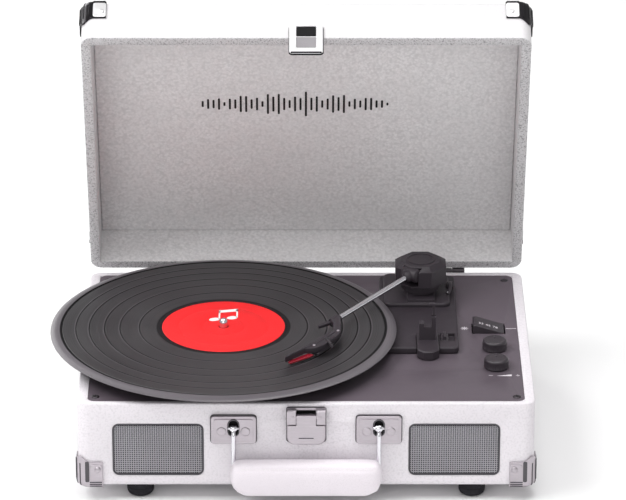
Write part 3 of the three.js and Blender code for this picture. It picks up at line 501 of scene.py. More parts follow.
def lathe(profile, sides=64, shut=False):
    """Turns (radius, z) points about Z. A shut profile closes on itself, as for a ring."""
    bm = bmesh.new()
    rows = []
    for radius, z in profile:
        if radius < 1e-6:
            rows.append([bm.verts.new((0, 0, z))])
            continue
        turns = [2 * math.pi * k / sides for k in range(sides)]
        rows.append([bm.verts.new((radius * math.cos(a), radius * math.sin(a), z)) for a in turns])
    pairs = list(zip(rows, rows[1:])) + ([(rows[-1], rows[0])] if shut else [])
    for low, high in pairs:
        for k in range(sides):
            n = (k + 1) % sides
            corners = [low[k % len(low)], low[n % len(low)], high[n % len(high)], high[k % len(high)]]
            unique = list(dict.fromkeys(corners))
            if len(unique) > 2:
                bm.faces.new(unique)
    bmesh.ops.recalc_face_normals(bm, faces=bm.faces)
    return bm


def box_mesh(x0, x1, y0, y1, z0, z1):
    return slab([(x0, y0), (x1, y0), (x1, y1), (x0, y1)], z0, z1)


def circle(radius, sides, squash=1.0):
    turns = [2 * math.pi * k / sides for k in range(sides)]
    return [(radius * math.cos(a), radius * squash * math.sin(a)) for a in turns]


def smooth_path(points, steps):
    """A Catmull-Rom curve through the points."""
    knots = [Vector(p) for p in points]
    knots = [knots[0] * 2 - knots[1]] + knots + [knots[-1] * 2 - knots[-2]]
    path = []
    for a, b, c, d in zip(knots, knots[1:], knots[2:], knots[3:]):
        for k in range(steps):
            t = k / steps
            path.append(0.5 * ((2 * b) + (c - a) * t + (2 * a - 5 * b + 4 * c - d) * t ** 2
                               + (3 * b - a - 3 * c + d) * t ** 3))
    return path + [knots[-2]]


def sweep(path, section):
    """Carries a section, a list of (side, up), along a path without twisting it."""
    path = [Vector(p) for p in path]
    up = Vector((0, 0, 1))
    first = (path[1] - path[0]).normalized()
    if abs(first.dot(up)) > 0.9:
        up = Vector((1, 0, 0))
    rings = []
    for k, point in enumerate(path):
        ahead = path[min(k + 1, len(path) - 1)] - path[max(k - 1, 0)]
        ahead.normalize()
        side = ahead.cross(up).normalized()
        up = side.cross(ahead).normalized()
        rings.append([tuple(point + side * s + up * u) for s, u in section])
    return loft(rings)


def tube(path, radius, sides):
    return sweep(path, circle(radius, sides))


def merge(*meshes):
    """Puts several bmeshes into one."""
    total = bmesh.new()
    for bm in meshes:
        spare = bpy.data.meshes.new("spare")
        bm.to_mesh(spare)
        bm.free()
        total.from_mesh(spare)
        bpy.data.meshes.remove(spare)
    return total


def moved(bm, x=0.0, y=0.0, z=0.0, turn=None):
    matrix = Matrix.Translation((x, y, z)) @ (turn or Matrix.Identity(4))
    bmesh.ops.transform(bm, matrix=matrix, verts=bm.verts)
    return bm


def tablet(width, height, corner, low, high, x=0.0, y=0.0, steps=6):
    """A rounded plate lying flat from low to high, centred on (x, y)."""
    return moved(slab(round_rect(width, height, corner, steps=steps), low, high), x, y)


UPRIGHT = Matrix.Rotation(math.radians(90), 4, "X")
BACKWARD = Matrix.Rotation(math.radians(-90), 4, "X")
ALONG_X = Matrix.Rotation(math.radians(90), 4, "Y")


def turned(angle):
    return Matrix.Rotation(angle, 4, "Z")


def on(frame_matrix, x, y, z, turn=None):
    """A frame at a point of another frame, turned if asked."""
    place = frame_matrix @ Matrix.Translation((x, y, z))
    return place @ turn if turn else place


def refined(node, look, width, body, segments=2):
    """A CAD node's shape with its flat faces cleaned, its edges rounded and its curves shaded smooth."""
    bm = bmesh.new()
    bm.from_mesh(NODES[node].data)
    bmesh.ops.remove_doubles(bm, verts=bm.verts, dist=2e-6)
    bmesh.ops.dissolve_limit(bm, angle_limit=math.radians(0.6), verts=bm.verts, edges=bm.edges)
    made = new_object(f"{node}_fine", bm, Matrix.Identity(4), look, 32)
    soften(made, width, segments, 34)
    normals = made.modifiers.new("normals", "WEIGHTED_NORMAL")
    normals.keep_sharp = True
    return fit(made, body, node)


# ---------------------------------------------------------------- case
def case_rings(height, edge):
    """One half of the case as rings, lying on its outer face with its open side up."""
    rim, steps = 1.2, 8

    def ring(inset, z):
        width, depth = CASE["width"] - 2 * inset, CASE["depth"] - 2 * inset
        outline = round_rect(width, depth, CASE["corner"] - inset, steps=8)
        return [(x, y + CASE["depth"] / 2, z) for x, y in outline]

    rings = []
    for k in range(steps + 1):
        turn = math.pi / 2 * k / steps
        rings.append(ring(edge * (1 - math.sin(turn)), edge * (1 - math.cos(turn))))
    for k in range(4):
        turn = math.pi / 2 * k / 3
        rings.append(ring(rim * (1 - math.cos(turn)), height - rim * (1 - math.sin(turn))))
    return rings


def case_base():
    in_x = CASE["width"] / 2 - CASE["wall"]
    in_back = CASE["depth"] - CASE["wall"]
    shelf = DECK["top"] - DECK["thick"] - 0.3
    deck_depth, deck_middle = DECK["back"] - DECK["front"], (DECK["front"] + DECK["back"]) / 2
    cuts = [
        box_mesh(-in_x, in_x, CASE["wall"], in_back, CASE["floor"], 80),
        tablet(2 * in_x, deck_depth + 0.6, 6, shelf, 80, 0, deck_middle),
        box_mesh(-LATCH["neck"], LATCH["neck"], -1, 5, 58, LATCH["window_top"]),
        box_mesh(-38, 38, in_back - 1, CASE["depth"] + 1, 22, 42),
    ]
    for side in (-1, 1):
        place = (side * GRILLE["x"], 0, GRILLE["z"], UPRIGHT)
        seat = tablet(GRILLE["width"] + 0.6, GRILLE["height"] + 0.6, GRILLE["corner"] + 0.3, -1.9, 2)
        throat = lathe([(0, -9), (21, -9), (21, 1), (0, 1)], 40)
        cuts += [moved(seat, *place), moved(throat, *place)]
    part("case_base", loft(case_rings(CASE["height"], CASE["edge"])), CASE_FRAME, "base_vinyl", "base", 0.5,
         cuts=cuts, node="base_box")


def deck_plate():
    top, middle = DECK["top"], (DECK["front"] + DECK["back"]) / 2
    plate = tablet(2 * DECK["half"], DECK["back"] - DECK["front"], 6, top - DECK["thick"], top, 0, middle)

    def hole(x, y, radius, depth=5):
        return moved(lathe([(0, -depth), (radius, -depth), (radius, 2), (0, 2)], 40), x, y, top)

    low_x, high_x = ROCKER["x"] - ROCKER["length"] / 2 - 1, ROCKER["x"] + ROCKER["length"] / 2 + 1
    low_y, high_y = ROCKER["y"] - ROCKER["width"] / 2 - 0.5, ROCKER["y"] + ROCKER["width"] / 2 + 0.5
    cuts = [hole(DISC["x"], DISC["y"], 8.6), hole(DISC["x"] - 58, DISC["y"] - 58, 4),
            hole(ARM["x"], ARM["y"], 7), hole(*TRANSIT, 6.5, 1.6),
            hole(KNOB["x"], KNOB["mode_y"], 3.3), hole(KNOB["x"], KNOB["volume_y"], 3.3),
            box_mesh(low_x, high_x, low_y, high_y, top - 5, top + 2)]
    part("deck_top", plate, CASE_FRAME, "deck", "base", 0.4, cuts=cuts,
         node="deck_plate")


def screw(name, matrix, body, look, radius, rise):
    """A pan-head screw with a cross recess, drawn standing on z = 0."""
    head = lathe([(0, -1), (radius, -1), (radius, rise * 0.35), (radius * 0.9, rise * 0.7),
                  (radius * 0.62, rise * 0.94), (0, rise)], 32)
    arm, half = radius * 0.62, radius * 0.13
    cuts = [box_mesh(-arm, arm, -half, half, rise * 0.2, rise + 1),
            box_mesh(-half, half, -arm, arm, rise * 0.2, rise + 1)]
    part(name, head, matrix, look, body, smooth=50, cuts=cuts)


def deck_screws():
    for number, (x, y) in enumerate([(-163, 239.4), (163, 239.4), (-164, 12.8), (164, 12.8)]):
        place = on(CASE_FRAME, x, y, DECK["top"], turned(0.4 + number))
        screw(f"deck_screw_{number}", place, "base", "dark_metal", 3.1, 1.0)


def transit_screw():
    """A dark slotted screw sunk in a lipped recess behind the platter."""
    place = on(CASE_FRAME, *TRANSIT, DECK["top"] - 1.3, turned(0.5))
    head = lathe([(0, 0), (5, 0), (5, 1.7), (4.8, 2.1), (4.2, 2.45), (0, 2.5)], 40)
    part("transit_screw_fine", head, place, "dark_metal", "base", 0.12, smooth=40,
         cuts=[box_mesh(-6, 6, -0.6, 0.6, 1.5, 4)], node="transit_screw")
    lip = lathe([(6.3, 0.9), (6.6, 1.25), (7.1, 1.65), (7.7, 1.6), (8.0, 1.25), (8.0, 0.9)], 48, shut=True)
    part("transit_lip", lip, place, "deck", "base", smooth=60)


def foot(name, x, y):
    profile = [(0, -12), (7.2, -12), (7.8, -11.9), (9.6, -10.6), (10.2, -9.4), (10.5, -8), (10.5, -5.4),
               (10.1, -5.1), (10.1, -4.5), (10.5, -4.2), (10.5, -0.9), (10.2, -0.35), (0, -0.35)]
    part(f"{name}_fine", moved(lathe(profile, 64), x, y), CASE_FRAME, "rubber", "base", smooth=40,
         node=name)


# ---------------------------------------------------------------- corner caps
def cap_point(side, back, edge, run, z, grow):
    """A point over a rounded corner of the case. run is 0 to 90 degrees round the corner, less than 0
    is millimetres along the end face before it, and over 90 is 90 plus millimetres along the side face."""
    corner = CASE["corner"]
    low = z + grow
    inset = edge - math.sqrt(edge ** 2 - (edge - low) ** 2) if low < edge else 0.0
    radius = corner + grow - inset
    x, y = CASE["width"] / 2 - corner, corner
    if run < 0:
        px, py = x + run, y - radius
    elif run > 90:
        px, py = x + radius, y + run - 90
    else:
        turn = math.radians(run)
        px, py = x + radius * math.sin(turn), y - radius * math.cos(turn)
    return (side * px, CASE["depth"] - py if back else py, z)


def corner_cap(name, matrix, edge, side, back, body, look, plate, groove):
    """A pressed cap: a shell over the corner, with a raised rivet panel on two faces and pressed ribs."""
    reach, high, thick, lift_over = 10.5, 21.0, 1.3, 1.55
    runs = [-reach + k * reach / 3 for k in range(3)] + [90 * k / 12 for k in range(13)]
    runs += [90 + (k + 1) * reach / 3 for k in range(3)]
    levels = [-lift_over + (edge + lift_over) * (1 - math.cos(math.pi / 2 * k / 8)) for k in range(9)]
    levels += [high * 0.6, high]

    def crown(run, z):
        """The cap's top edge rises a little towards the corner."""
        lift = 4.5 * math.exp(-((run - 45) / 30) ** 2) if 0 <= run <= 90 else 4.5 * math.exp(-2.25)
        return z + lift * max(0.0, (z - edge) / (high - edge)) ** 2

    bm = bmesh.new()
    shells = []
    for grow in (0.3 + thick, 0.3):
        rows = []
        for z in levels:
            level = max(z, -grow + 0.02)
            points = [cap_point(side, back, edge, run, crown(run, level), grow) for run in runs]
            rows.append([bm.verts.new(point) for point in points])
        shells.append(rows)
    outer, inner = shells
    for rows in shells:
        for low, row in zip(rows, rows[1:]):
            for k in range(len(runs) - 1):
                bm.faces.new((low[k], low[k + 1], row[k + 1], row[k]))
    for row in (0, -1):
        for k in range(len(runs) - 1):
            bm.faces.new((outer[row][k], outer[row][k + 1], inner[row][k + 1], inner[row][k]))
    for column in (0, -1):
        for low in range(len(levels) - 1):
            near, far = outer[low][column], outer[low + 1][column]
            bm.faces.new((near, far, inner[low + 1][column], inner[low][column]))
    bmesh.ops.recalc_face_normals(bm, faces=bm.faces)
    shell = new_object(f"{name}_fine", bm, matrix, look, 45)
    soften(shell, 0.35, 2, 50)
    fit(shell, body, name)
    cap_ribs(name, matrix, edge, side, back, body, reach, groove)
    cap_panels(name, matrix, side, back, body, plate, groove)


def cap_ribs(name, matrix, edge, side, back, body, reach, groove):
    """Three dark lines low on each face, and two that run up the rounded corner."""
    parts = []
    over, round_bar = 1.6, circle(0.5, 8)
    for z in (0.7, 2.5, 4.3):
        for start, end in ((-reach + 0.8, 0), (90, 89.2 + reach)):
            runs = [start + (end - start) * k / 6 for k in range(7)]
            parts.append(sweep([cap_point(side, back, edge, run, z, over) for run in runs], round_bar))
    for run, top in ((45, 19.5), (72, 17.5)):
        heights = [0.5 + 0.75 * k for k in range(8)] + [8, 12, 16, top]
        parts.append(sweep([cap_point(side, back, edge, run, z, over) for z in heights], round_bar))
    # The ribs take the groove look: painted shade on the base caps, a painted dark reflection on the lid
    # caps.
    part(f"{name}_ribs", merge(*parts), matrix, groove, body, smooth=60)


def cap_panels(name, matrix, side, back, body, plate, groove):
    """The rivet panel on each of the cap's two faces, with a channel beside it, and the end's rivet."""
    inset, height, over = 14.2, 12.9, 1.6
    end_y = CASE["depth"] + over if back else -over
    end = matrix @ Matrix.Translation((side * (CASE["width"] / 2 - inset), end_y, height))
    end = end @ Matrix.Rotation(math.radians(-90 if back else 90), 4, "X")
    flank_y = CASE["depth"] - inset if back else inset
    flank = matrix @ Matrix.Translation((side * (CASE["width"] / 2 + over), flank_y, height))
    flank = flank @ Matrix.Rotation(math.radians(90 * side), 4, "Y")
    wide, tall = (9.8, 13.2) if body == "base" else (10.4, 16.4)
    lane_end = (3.2, 17.6, 1.2, -0.8, 0.4, side * 7.0, 0.4)
    lane_flank = (17.6, 3.2, 1.2, -0.8, 0.4, 0.4, 7.0 if back else -7.0)
    for word, place, size, lane in (("end", end, (wide, tall), lane_end),
                                    ("flank", flank, (tall, wide), lane_flank)):
        part(f"{name}_panel_{word}", tablet(*size, 2.0, -0.4, 0.6), place, plate, body, 0.45, 3)
        # The channel takes the groove look, a painted dark reflection beside the panel.
        part(f"{name}_channel_{word}", tablet(*lane), place, groove, body, 0.2)
    dome = lathe([(0, 0.3), (2.9, 0.3), (2.9, 0.55), (2.6, 0.62), (2.55, 1.0), (2.2, 1.45), (1.5, 1.8),
                  (0.7, 1.95), (0, 2.0)], 32)
    rivet = moved(dome, -side * 1.3, -2.4 if back else 2.4)
    part(f"{name}_rivet", rivet, end, plate, body, smooth=60)


# ---------------------------------------------------------------- speaker grilles
def reach_in(half_w, half_h, corner, offset):
    """How far a straight line at an offset runs inside a rounded rectangle, to each side."""
    past = abs(offset) - (half_h - corner)
    if past <= 0:
        return half_w
    return half_w - corner + math.sqrt(max(0.0, corner ** 2 - past ** 2))


def wire_cloth(half_w, half_h, corner, pitch, radius):
    """Plain square weave: each wire bends over one neighbour and under the next."""
    section = circle(radius, 6)
    columns, rows = int(half_w / pitch), int(half_h / pitch)
    parts = []
    for along_x, count, across_w, across_h in ((True, rows, half_w, half_h),
                                               (False, columns, half_h, half_w)):
        for number in range(-count, count + 1):
            offset = number * pitch
            steps = int(reach_in(across_w, across_h, corner, offset) / (pitch / 2))
            phase = 1 if (number % 2 == 0) == along_x else -1
            path = []
            for k in range(-steps, steps + 1):
                u = k * pitch / 2
                bend = phase * radius * 0.9 * math.cos(math.pi * u / pitch)
                path.append((u, offset, bend) if along_x else (offset, u, bend))
            parts.append(sweep(path, section))
    return merge(*parts)


def grille(word, side):
    """A moulded bezel round a woven wire cloth, with a dark sheet behind it."""
    place = on(CASE_FRAME, side * GRILLE["x"], 0, GRILLE["z"], UPRIGHT)
    width, height, corner = GRILLE["width"], GRILLE["height"], GRILLE["corner"]
    low, high, bezel = -1.55, 0.35, 1.3
    outer = round_rect(width, height, corner)
    inner = round_rect(width - 2 * bezel, height - 2 * bezel, corner - bezel)
    rings = [[(x, y, z) for x, y in outline]
             for outline, z in ((outer, low), (outer, high), (inner, high), (inner, low), (outer, low))]
    part(f"grille_bezel_{word}", loft(rings, closed_ends=False), place, "bezel", "base", 0.3)
    cloth = wire_cloth(width / 2 - 1.1, height / 2 - 1.1, corner - 1.1, 1.75, 0.42)
    part(f"grille_weave_{word}", moved(cloth, 0, 0, -0.55), place, "mesh_wire", "base", smooth=70,
         node=f"speaker_grille_{word}")
    sheet = tablet(width - 1.6, height - 1.6, corner - 0.8, -1.5, -1.25)
    part(f"grille_backing_{word}", sheet, place, "mesh_back", "base", 0.08, 1)


# ---------------------------------------------------------------- handle
def bracket(word, side):
    """A bevelled plate with a border of painted shade, a raised field, a slot whose eyelet is darkened as
    painted shade over a black well of painted shade, and two rivets.
    """
    place = on(CASE_FRAME, side * BRACKET["x"], FACE, BRACKET["z"], UPRIGHT)
    w, h, thick = BRACKET["width"], BRACKET["height"], BRACKET["thick"]
    slot_y = 2.2

    def slot(width, height, corner, low=-2, high=thick + 3):
        return tablet(width, height, corner, low, high, 0, slot_y)

    part(f"bracket_plate_{word}", tablet(w, h, 2.5, 0, thick - 0.7), place, "nickel", "base", 0.8, 3,
         cuts=[slot(7, 12.5, 3.4)], node=f"handle_bracket_{word}")
    # Painted shade: a dark border round the plate.
    part(f"bracket_border_{word}", tablet(w + 1.4, h + 1.4, 3.1, 0, 0.9), place, "cap_shade", "base", 0.25,
         cuts=[tablet(w - 1, h - 1, 2, -1, 2)])
    part(f"bracket_field_{word}", tablet(w - 4.6, h - 4.6, 1.6, thick - 1.2, thick), place, "nickel", "base",
         0.45, 3, cuts=[slot(9.4, 15, 4.6)])
    rim = [(x, y + slot_y, thick - 0.5) for x, y in round_rect(8.2, 13.7, 4.0)]
    # Painted shade: the eyelet round the slot is darkened.
    part(f"bracket_eyelet_{word}", tube(rim + rim[:2], 0.75, 12), place, "cap_shade", "base", smooth=70)
    for number, x in enumerate((-9.3, 9.3)):
        head = lathe([(0, thick - 0.3), (3.75, thick - 0.3), (3.7, thick + 0.25), (3.4, thick + 0.5),
                      (2.6, thick + 0.62), (0, thick + 0.68)], 36)
        part(f"bracket_rivet_{word}_{number}", moved(head, x, -0.8), place, "nickel", "base", smooth=50)
    pin = lathe([(0, -4.4), (1.0, -4.4), (1.15, -4.2), (1.15, 4.2), (1.0, 4.4), (0, 4.4)], 24)
    bar = moved(pin, 0, HANDLE_PIN["z"] - BRACKET["z"], FACE - HANDLE_PIN["y"], ALONG_X)
    part(f"bracket_pin_{word}", bar, place, "chrome", "base", smooth=60)
    # Painted shade: a black sheet in the slot.
    part(f"bracket_well_{word}", slot(7.6, 13, 3.6, -0.2, 0.35), place, "black_hole", "base", 0.1, 1)


def handle_wire():
    """The bright wire that runs from one bracket's pin down, under the grip and up to the other."""
    x, y, pin_y, pin_z = BRACKET["x"], -6.6, HANDLE_PIN["y"], HANDLE_PIN["z"]
    low, bend = GRIP["top"] - 13, 4.0
    leg = [(-x, pin_y - 0.4, pin_z - 1.6), (-x, y + 0.9, pin_z - 3.6), (-x, y, pin_z - 6.5), (-x, y, 38),
           (-x, y, 28), (-x, y, low + bend)]
    leg += [(-x + bend - bend * math.cos(a), y, low + bend - bend * math.sin(a)) for a in (0.4, 0.8, 1.2)]
    leg.append((-x + bend, y, low))
    other = [(-px, py, pz) for px, py, pz in reversed(leg)]
    parts = [tube(smooth_path(leg + [(0, y, low)] + other, 5), 1.8, 20)]
    for side in (-1, 1):
        eye = lathe([(1.4, -2.2), (2.2, -2.6), (2.8, -1.6), (2.95, 0), (2.8, 1.6), (2.2, 2.6),
                     (1.4, 2.2)], 32, shut=True)
        parts.append(moved(eye, side * x, pin_y, pin_z, ALONG_X))
    part("handle_wire", merge(*parts), CASE_FRAME, "chrome", "handle", smooth=60,
         node="handle_frame")


def grip_rings(shrink):
    """The pad's outline from behind to in front, its edges rounded by drawing the rings in."""
    width, height = 2 * GRIP["half"] - 2 * shrink, GRIP["top"] - 2 * shrink - 2.2
    back, front = GRIP["back"] - shrink, GRIP["front"] + shrink
    edge = 4.5
    rings = []
    for k in range(7):
        turn = math.pi / 2 * k / 6
        inset, y = edge * (1 - math.sin(turn)), back - edge * (1 - math.cos(turn))
        rings.append((inset, y))
    rings += [(inset, back + front - y) for inset, y in reversed(rings)]
    made = []
    for inset, y in rings:
        outline = round_rect(width - 2 * inset, height - 2 * inset, 7.5 - inset, 13.5 - inset, 8)
        made.append([(x, y, z + GRIP["top"] / 2 - 1.1) for x, z in outline])
    return made


def remesh(pad, size):
    made = pad.modifiers.new("remesh", "REMESH")
    made.mode = "VOXEL"
    made.voxel_size = size * MM
    bake(pad)


def inflate(pad, limit):
    """Blows a closed skin up a little as cloth, holding every point within limit of its start."""
    remesh(pad, 4)
    start = [v.co.copy() for v in pad.data.vertices]
    cloth = pad.modifiers.new("cloth", "CLOTH")
    cloth.settings.quality = 6
    cloth.settings.use_pressure = True
    cloth.settings.uniform_pressure_force = 4
    cloth.settings.effector_weights.gravity = 0
    cloth.settings.tension_stiffness = 25
    cloth.settings.compression_stiffness = 25
    scene = bpy.context.scene
    for number in range(1, 21):
        scene.frame_set(number)
        bpy.context.view_layer.update()
    bake(pad)
    scene.frame_set(1)
    for vertex, home in zip(pad.data.vertices, start):
        move = vertex.co - home
        if move.length > limit * MM:
            vertex.co = home + move * (limit * MM / move.length)


def relax(pad, repeats):
    smooth = pad.modifiers.new("relax", "SMOOTH")
    smooth.iterations = repeats
    smooth.factor = 0.5
    bake(pad)


def handle_grip():
    """A padded grip in smooth vinyl, with a stitched seam near its top edge."""
    pad = new_object("grip_pad", loft(grip_rings(-0.8)), CASE_FRAME, "grip_vinyl", 180)
    inflate(pad, 1.5)
    relax(pad, 3)
    finer = pad.modifiers.new("finer", "SUBSURF")
    finer.levels = finer.render_levels = 2
    bake(pad)
    seam_z, depth, width = at(0, 0, SEAM_Z).z, 0.45 * MM, 1.1 * MM
    front_y = at(0, -11, 0).y
    for vertex in pad.data.vertices:
        if vertex.co.y < front_y:
            vertex.co.y += depth * math.exp(-((vertex.co.z - seam_z) / width) ** 2)
    pad.data.materials.clear()
    pad.data.materials.append(LOOKS["grip_vinyl"])
    pad.data.shade_smooth()
    fit(pad, "handle", "handle_grip")
    grip_stitches(pad)


def grip_stitches(pad):
    """Short threads laid along the seam, each on the point of the pad's front that a ray finds."""
    parts = []
    reach, count = GRIP["half"] - 9, 30
    for k in range(count):
        x = -reach + 2 * reach * k / (count - 1)
        hit, place, *_ = pad.ray_cast(at(x, -40, SEAM_Z), Vector((0, 1, 0)))
        if hit:
            x, y, z = (place - ORIGIN) / MM
            path = [(x - 1.1, y + 0.12, z - 0.1), (x - 0.6, y - 0.14, z), (x + 0.6, y - 0.14, z),
                    (x + 1.1, y + 0.12, z + 0.1)]
            parts.append(tube(smooth_path(path, 2), 0.26, 8))
    part("grip_stitches", merge(*parts), CASE_FRAME, "grip_thread", "handle", smooth=80)


# ---------------------------------------------------------------- latch
def latch():
    """The plate and flap, with their rivets, a slit of painted shade, lintel, a border of painted shade and a
    black sheet of painted shade in the hollow behind the neck.
    """
    refined("latch_plate", "nickel", 0.35, "base")
    refined("latch_flap", "nickel", 0.35, "flap")
    lug_front = LATCH["pivot_y"] - 2.6
    for number, x in enumerate((-10.7, 10.7)):
        head = lathe([(0, -0.3), (1.9, -0.3), (1.9, 0.15), (1.6, 0.3), (0, 0.35)], 28)
        part(f"latch_rivet_{number}", head, on(CASE_FRAME, x, lug_front, LATCH["pivot_z"] + 0.6, UPRIGHT),
             "nickel", "base", smooth=50)
    # Painted shade: a black strip for the slit.
    part("latch_slit", tablet(11.6, 0.6, 0.25, -0.4, 0.06),
         on(CASE_FRAME, 0, lug_front, LATCH["bottom"] + 5.55, UPRIGHT), "black_hole", "flap")
    half, hollow_z = LATCH["neck"] - 0.1, 63.0
    part("latch_lintel", tablet(2 * half, 1.5, 0.2, -1.3, 0.95, 0, 4.25),
         on(CASE_FRAME, 0, -0.7, hollow_z, UPRIGHT), "nickel", "base", 0.15)
    wide, tall = 2 * LATCH["half"], LATCH["top"] - LATCH["bottom"]
    # Painted shade: a dark border round the latch.
    part("latch_border", tablet(wide + 1.2, tall + 1.2, 2.1, 0, 0.8),
         on(CASE_FRAME, 0, FACE, (LATCH["top"] + LATCH["bottom"]) / 2, UPRIGHT), "cap_shade", "base", 0.2,
         cuts=[tablet(wide - 1, tall - 1, 1, -1, 2)])
    # Painted shade: a black sheet filling the hollow behind the neck.
    part("latch_hollow", tablet(2 * half, 9.6, 0.3, -4.4, -0.2), on(CASE_FRAME, 0, 0.4, hollow_z, UPRIGHT),
         "black_hole", "base", 0.05, 1)


# ---------------------------------------------------------------- drive and record
def disc_frame():
    """The spindle's axis, on the deck's top face."""
    return on(CASE_FRAME, DISC["x"], DISC["y"], DECK["top"])


def platter():
    profile = [(3.8, 1.5), (14, 1.5), (14, 6.6), (66.5, 6.6), (66.5, 2.5), (69, 2.5), (69, 6.6), (97, 6.6),
               (97, 1.5), (99.4, 1.5), (100, 2.0), (100, 3.2), (99.5, 3.4), (99.5, 3.9), (100, 4.1),
               (100, 8.3), (99.6, 9.1), (98.7, 9.6), (3.8, 9.6)]
    part("platter_fine", lathe(profile, 128, shut=True), disc_frame(), "platter", "platter", smooth=40,
         node="platter")
    under = [(3.8, 9.9)] + [(r, 9.9) for r in range(20, 96, 4)] + [(97, 9.9)]
    ribs = [(97, 10.9)]
    for r in range(95, 11, -3):
        ribs += [(r + 0.9, 11.0), (r + 0.5, 10.75), (r - 0.5, 10.75), (r - 0.9, 11.0)]
    part("platter_mat_fine", lathe(under + ribs + [(3.8, 11.0)], 96, shut=True), disc_frame(), "felt",
         "platter", smooth=30, node="platter_mat")


def record():
    """A long-playing disc: a raised rolled rim, a lead-in groove, five track gaps and a run-out."""
    top, low, radius = DISC["top"], DISC["bottom"], DISC["radius"]
    random.seed(33)
    profile = [(3.8, low), (52, low), (53, low + 0.1), (radius - 7, low + 0.1), (radius - 1.4, low),
               (radius - 0.5, low + 0.1), (radius, low + 0.5), (radius - 0.1, low + 0.75),
               (radius - 0.5, low + 0.95)]
    for k in range(1, 8):
        share = k / 8
        rise = (top - low - 0.95) * math.sin(math.pi / 2 * share) ** 0.8
        profile.append((radius - 0.5 - 6.6 * share, low + 0.95 + rise))
    profile += [(radius - 7.4, top + 0.05), (radius - 8.2, top), (radius - 8.5, top - 0.28),
                (radius - 9.6, top - 0.3), (radius - 9.9, top - 0.05)]
    r = radius - 10.4
    while r > 54.6:
        gap = min(TRACK_GAPS, key=lambda g: abs(g - r))
        if abs(r - gap) < 0.55:
            profile += [(gap + 0.5, top - 0.04), (gap + 0.3, top - 0.16), (gap - 0.3, top - 0.16),
                        (gap - 0.5, top - 0.04)]
            r = gap - 0.95
            continue
        step = random.uniform(0.7, 1.5)
        profile += [(r, top), (r - step * 0.5, top - random.uniform(0.02, 0.06))]
        r -= step
    profile += [(54.2, top - 0.02), (53.6, top - 0.22), (51.8, top - 0.22), (51.5, top - 0.28),
                (51.1, top - 0.22), (49.4, top - 0.2), (49.2, top - 0.45), (3.8, top - 0.45)]
    part("record_fine", lathe(profile, 256, shut=True), disc_frame(), "disc", "platter", smooth=24,
         node="record")


def label():
    """The label with its pressed rings, printed with a generic pair of beamed notes."""
    top = DISC["top"]
    profile = [(3.9, top - 0.4), (48.7, top - 0.4), (49.0, top - 0.2), (48.7, top + 0.02), (36.6, top + 0.04),
               (36.2, top - 0.08), (35.4, top - 0.08), (35.0, top + 0.04), (17.8, top + 0.06),
               (17.3, top - 0.06), (16.5, top - 0.06), (16.0, top + 0.08), (5.2, top + 0.1),
               (4.2, top + 0.04), (3.9, top - 0.1)]
    part("label_fine", lathe(profile, 160, shut=True), disc_frame(), "label", "platter", smooth=25,
         node="record_label")
    low, high, tilt = top + 0.03, top + 0.12, math.radians(18)
    parts = []
    for x, y in ((-7.5, 13.2), (6.6, 16.4)):
        head = [(x + u * math.cos(tilt) - v * math.sin(tilt), y + u * math.sin(tilt) + v * math.cos(tilt))
                for u, v in circle(4.4, 24, 3.1 / 4.4)]
        parts.append(slab(head, low, high))
        parts.append(box_mesh(x + 3.2, x + 4.5, y, y + 16.5, low, high))
    parts.append(slab([(-4.3, 26.0), (11.1, 29.2), (11.1, 34.0), (-4.3, 30.8)], low, high))
    part("label_marks", merge(*parts), disc_frame(), "label_ink", "platter", smooth=30)


def spindle():
    top = 21.0
    profile = [(0, -24), (3.4, -24), (3.5, -23), (3.5, top - 4.2), (3.4, top - 3.2), (3.1, top - 2.1),
               (2.5, top - 1.0), (1.7, top - 0.35), (0.8, top - 0.06), (0, top)]
    part("spindle_fine", lathe(profile, 40), disc_frame(), "chrome", "base", smooth=60,
         node="spindle")


# ---------------------------------------------------------------- controls
def knob(name, y, body):
    """A fluted knob with a domed top, a raised pointer and a post through the deck."""
    radius, height = KNOB["radius"], KNOB["height"]
    low = DECK["top"] + 0.6
    flutes, per, bite = 40, 4, 0.32
    rings = []
    for z, r, depth in ((0, radius - 0.5, 0), (0.3, radius - 0.1, 0), (0.9, radius, 0), (1.2, radius, bite),
                        (height - 2.2, radius - 0.1, bite), (height - 1.9, radius - 0.15, 0),
                        (height - 1.0, radius - 0.35, 0), (height - 0.4, radius - 0.9, 0),
                        (height - 0.05, radius - 1.8, 0), (height - 0.35, radius - 2.6, 0),
                        (height - 0.45, radius - 4.5, 0)):
        ring = []
        for k in range(flutes * per):
            turn = 2 * math.pi * k / (flutes * per)
            across = r - depth * (0.5 - 0.5 * math.cos(2 * math.pi * k / per))
            ring.append((across * math.cos(turn), across * math.sin(turn), low + z))
        rings.append(ring)
    place = on(CASE_FRAME, KNOB["x"], y, 0)
    part(f"{name}_fine", loft(rings), place, "knob_plastic", body, smooth=38, node=name)
    pointer = tablet(0.9, 5.2, 0.4, low + height - 0.9, low + height - 0.02, 0, radius - 4.6, 3)
    part(f"{name}_pointer", pointer, place, "knob_plastic", body)
    post = lathe([(0, low - 12), (2.9, low - 12), (2.9, low + 0.5), (0, low + 0.5)], 24)
    part(f"{name}_post", post, place, "knob_plastic", body, 0.2, 1)


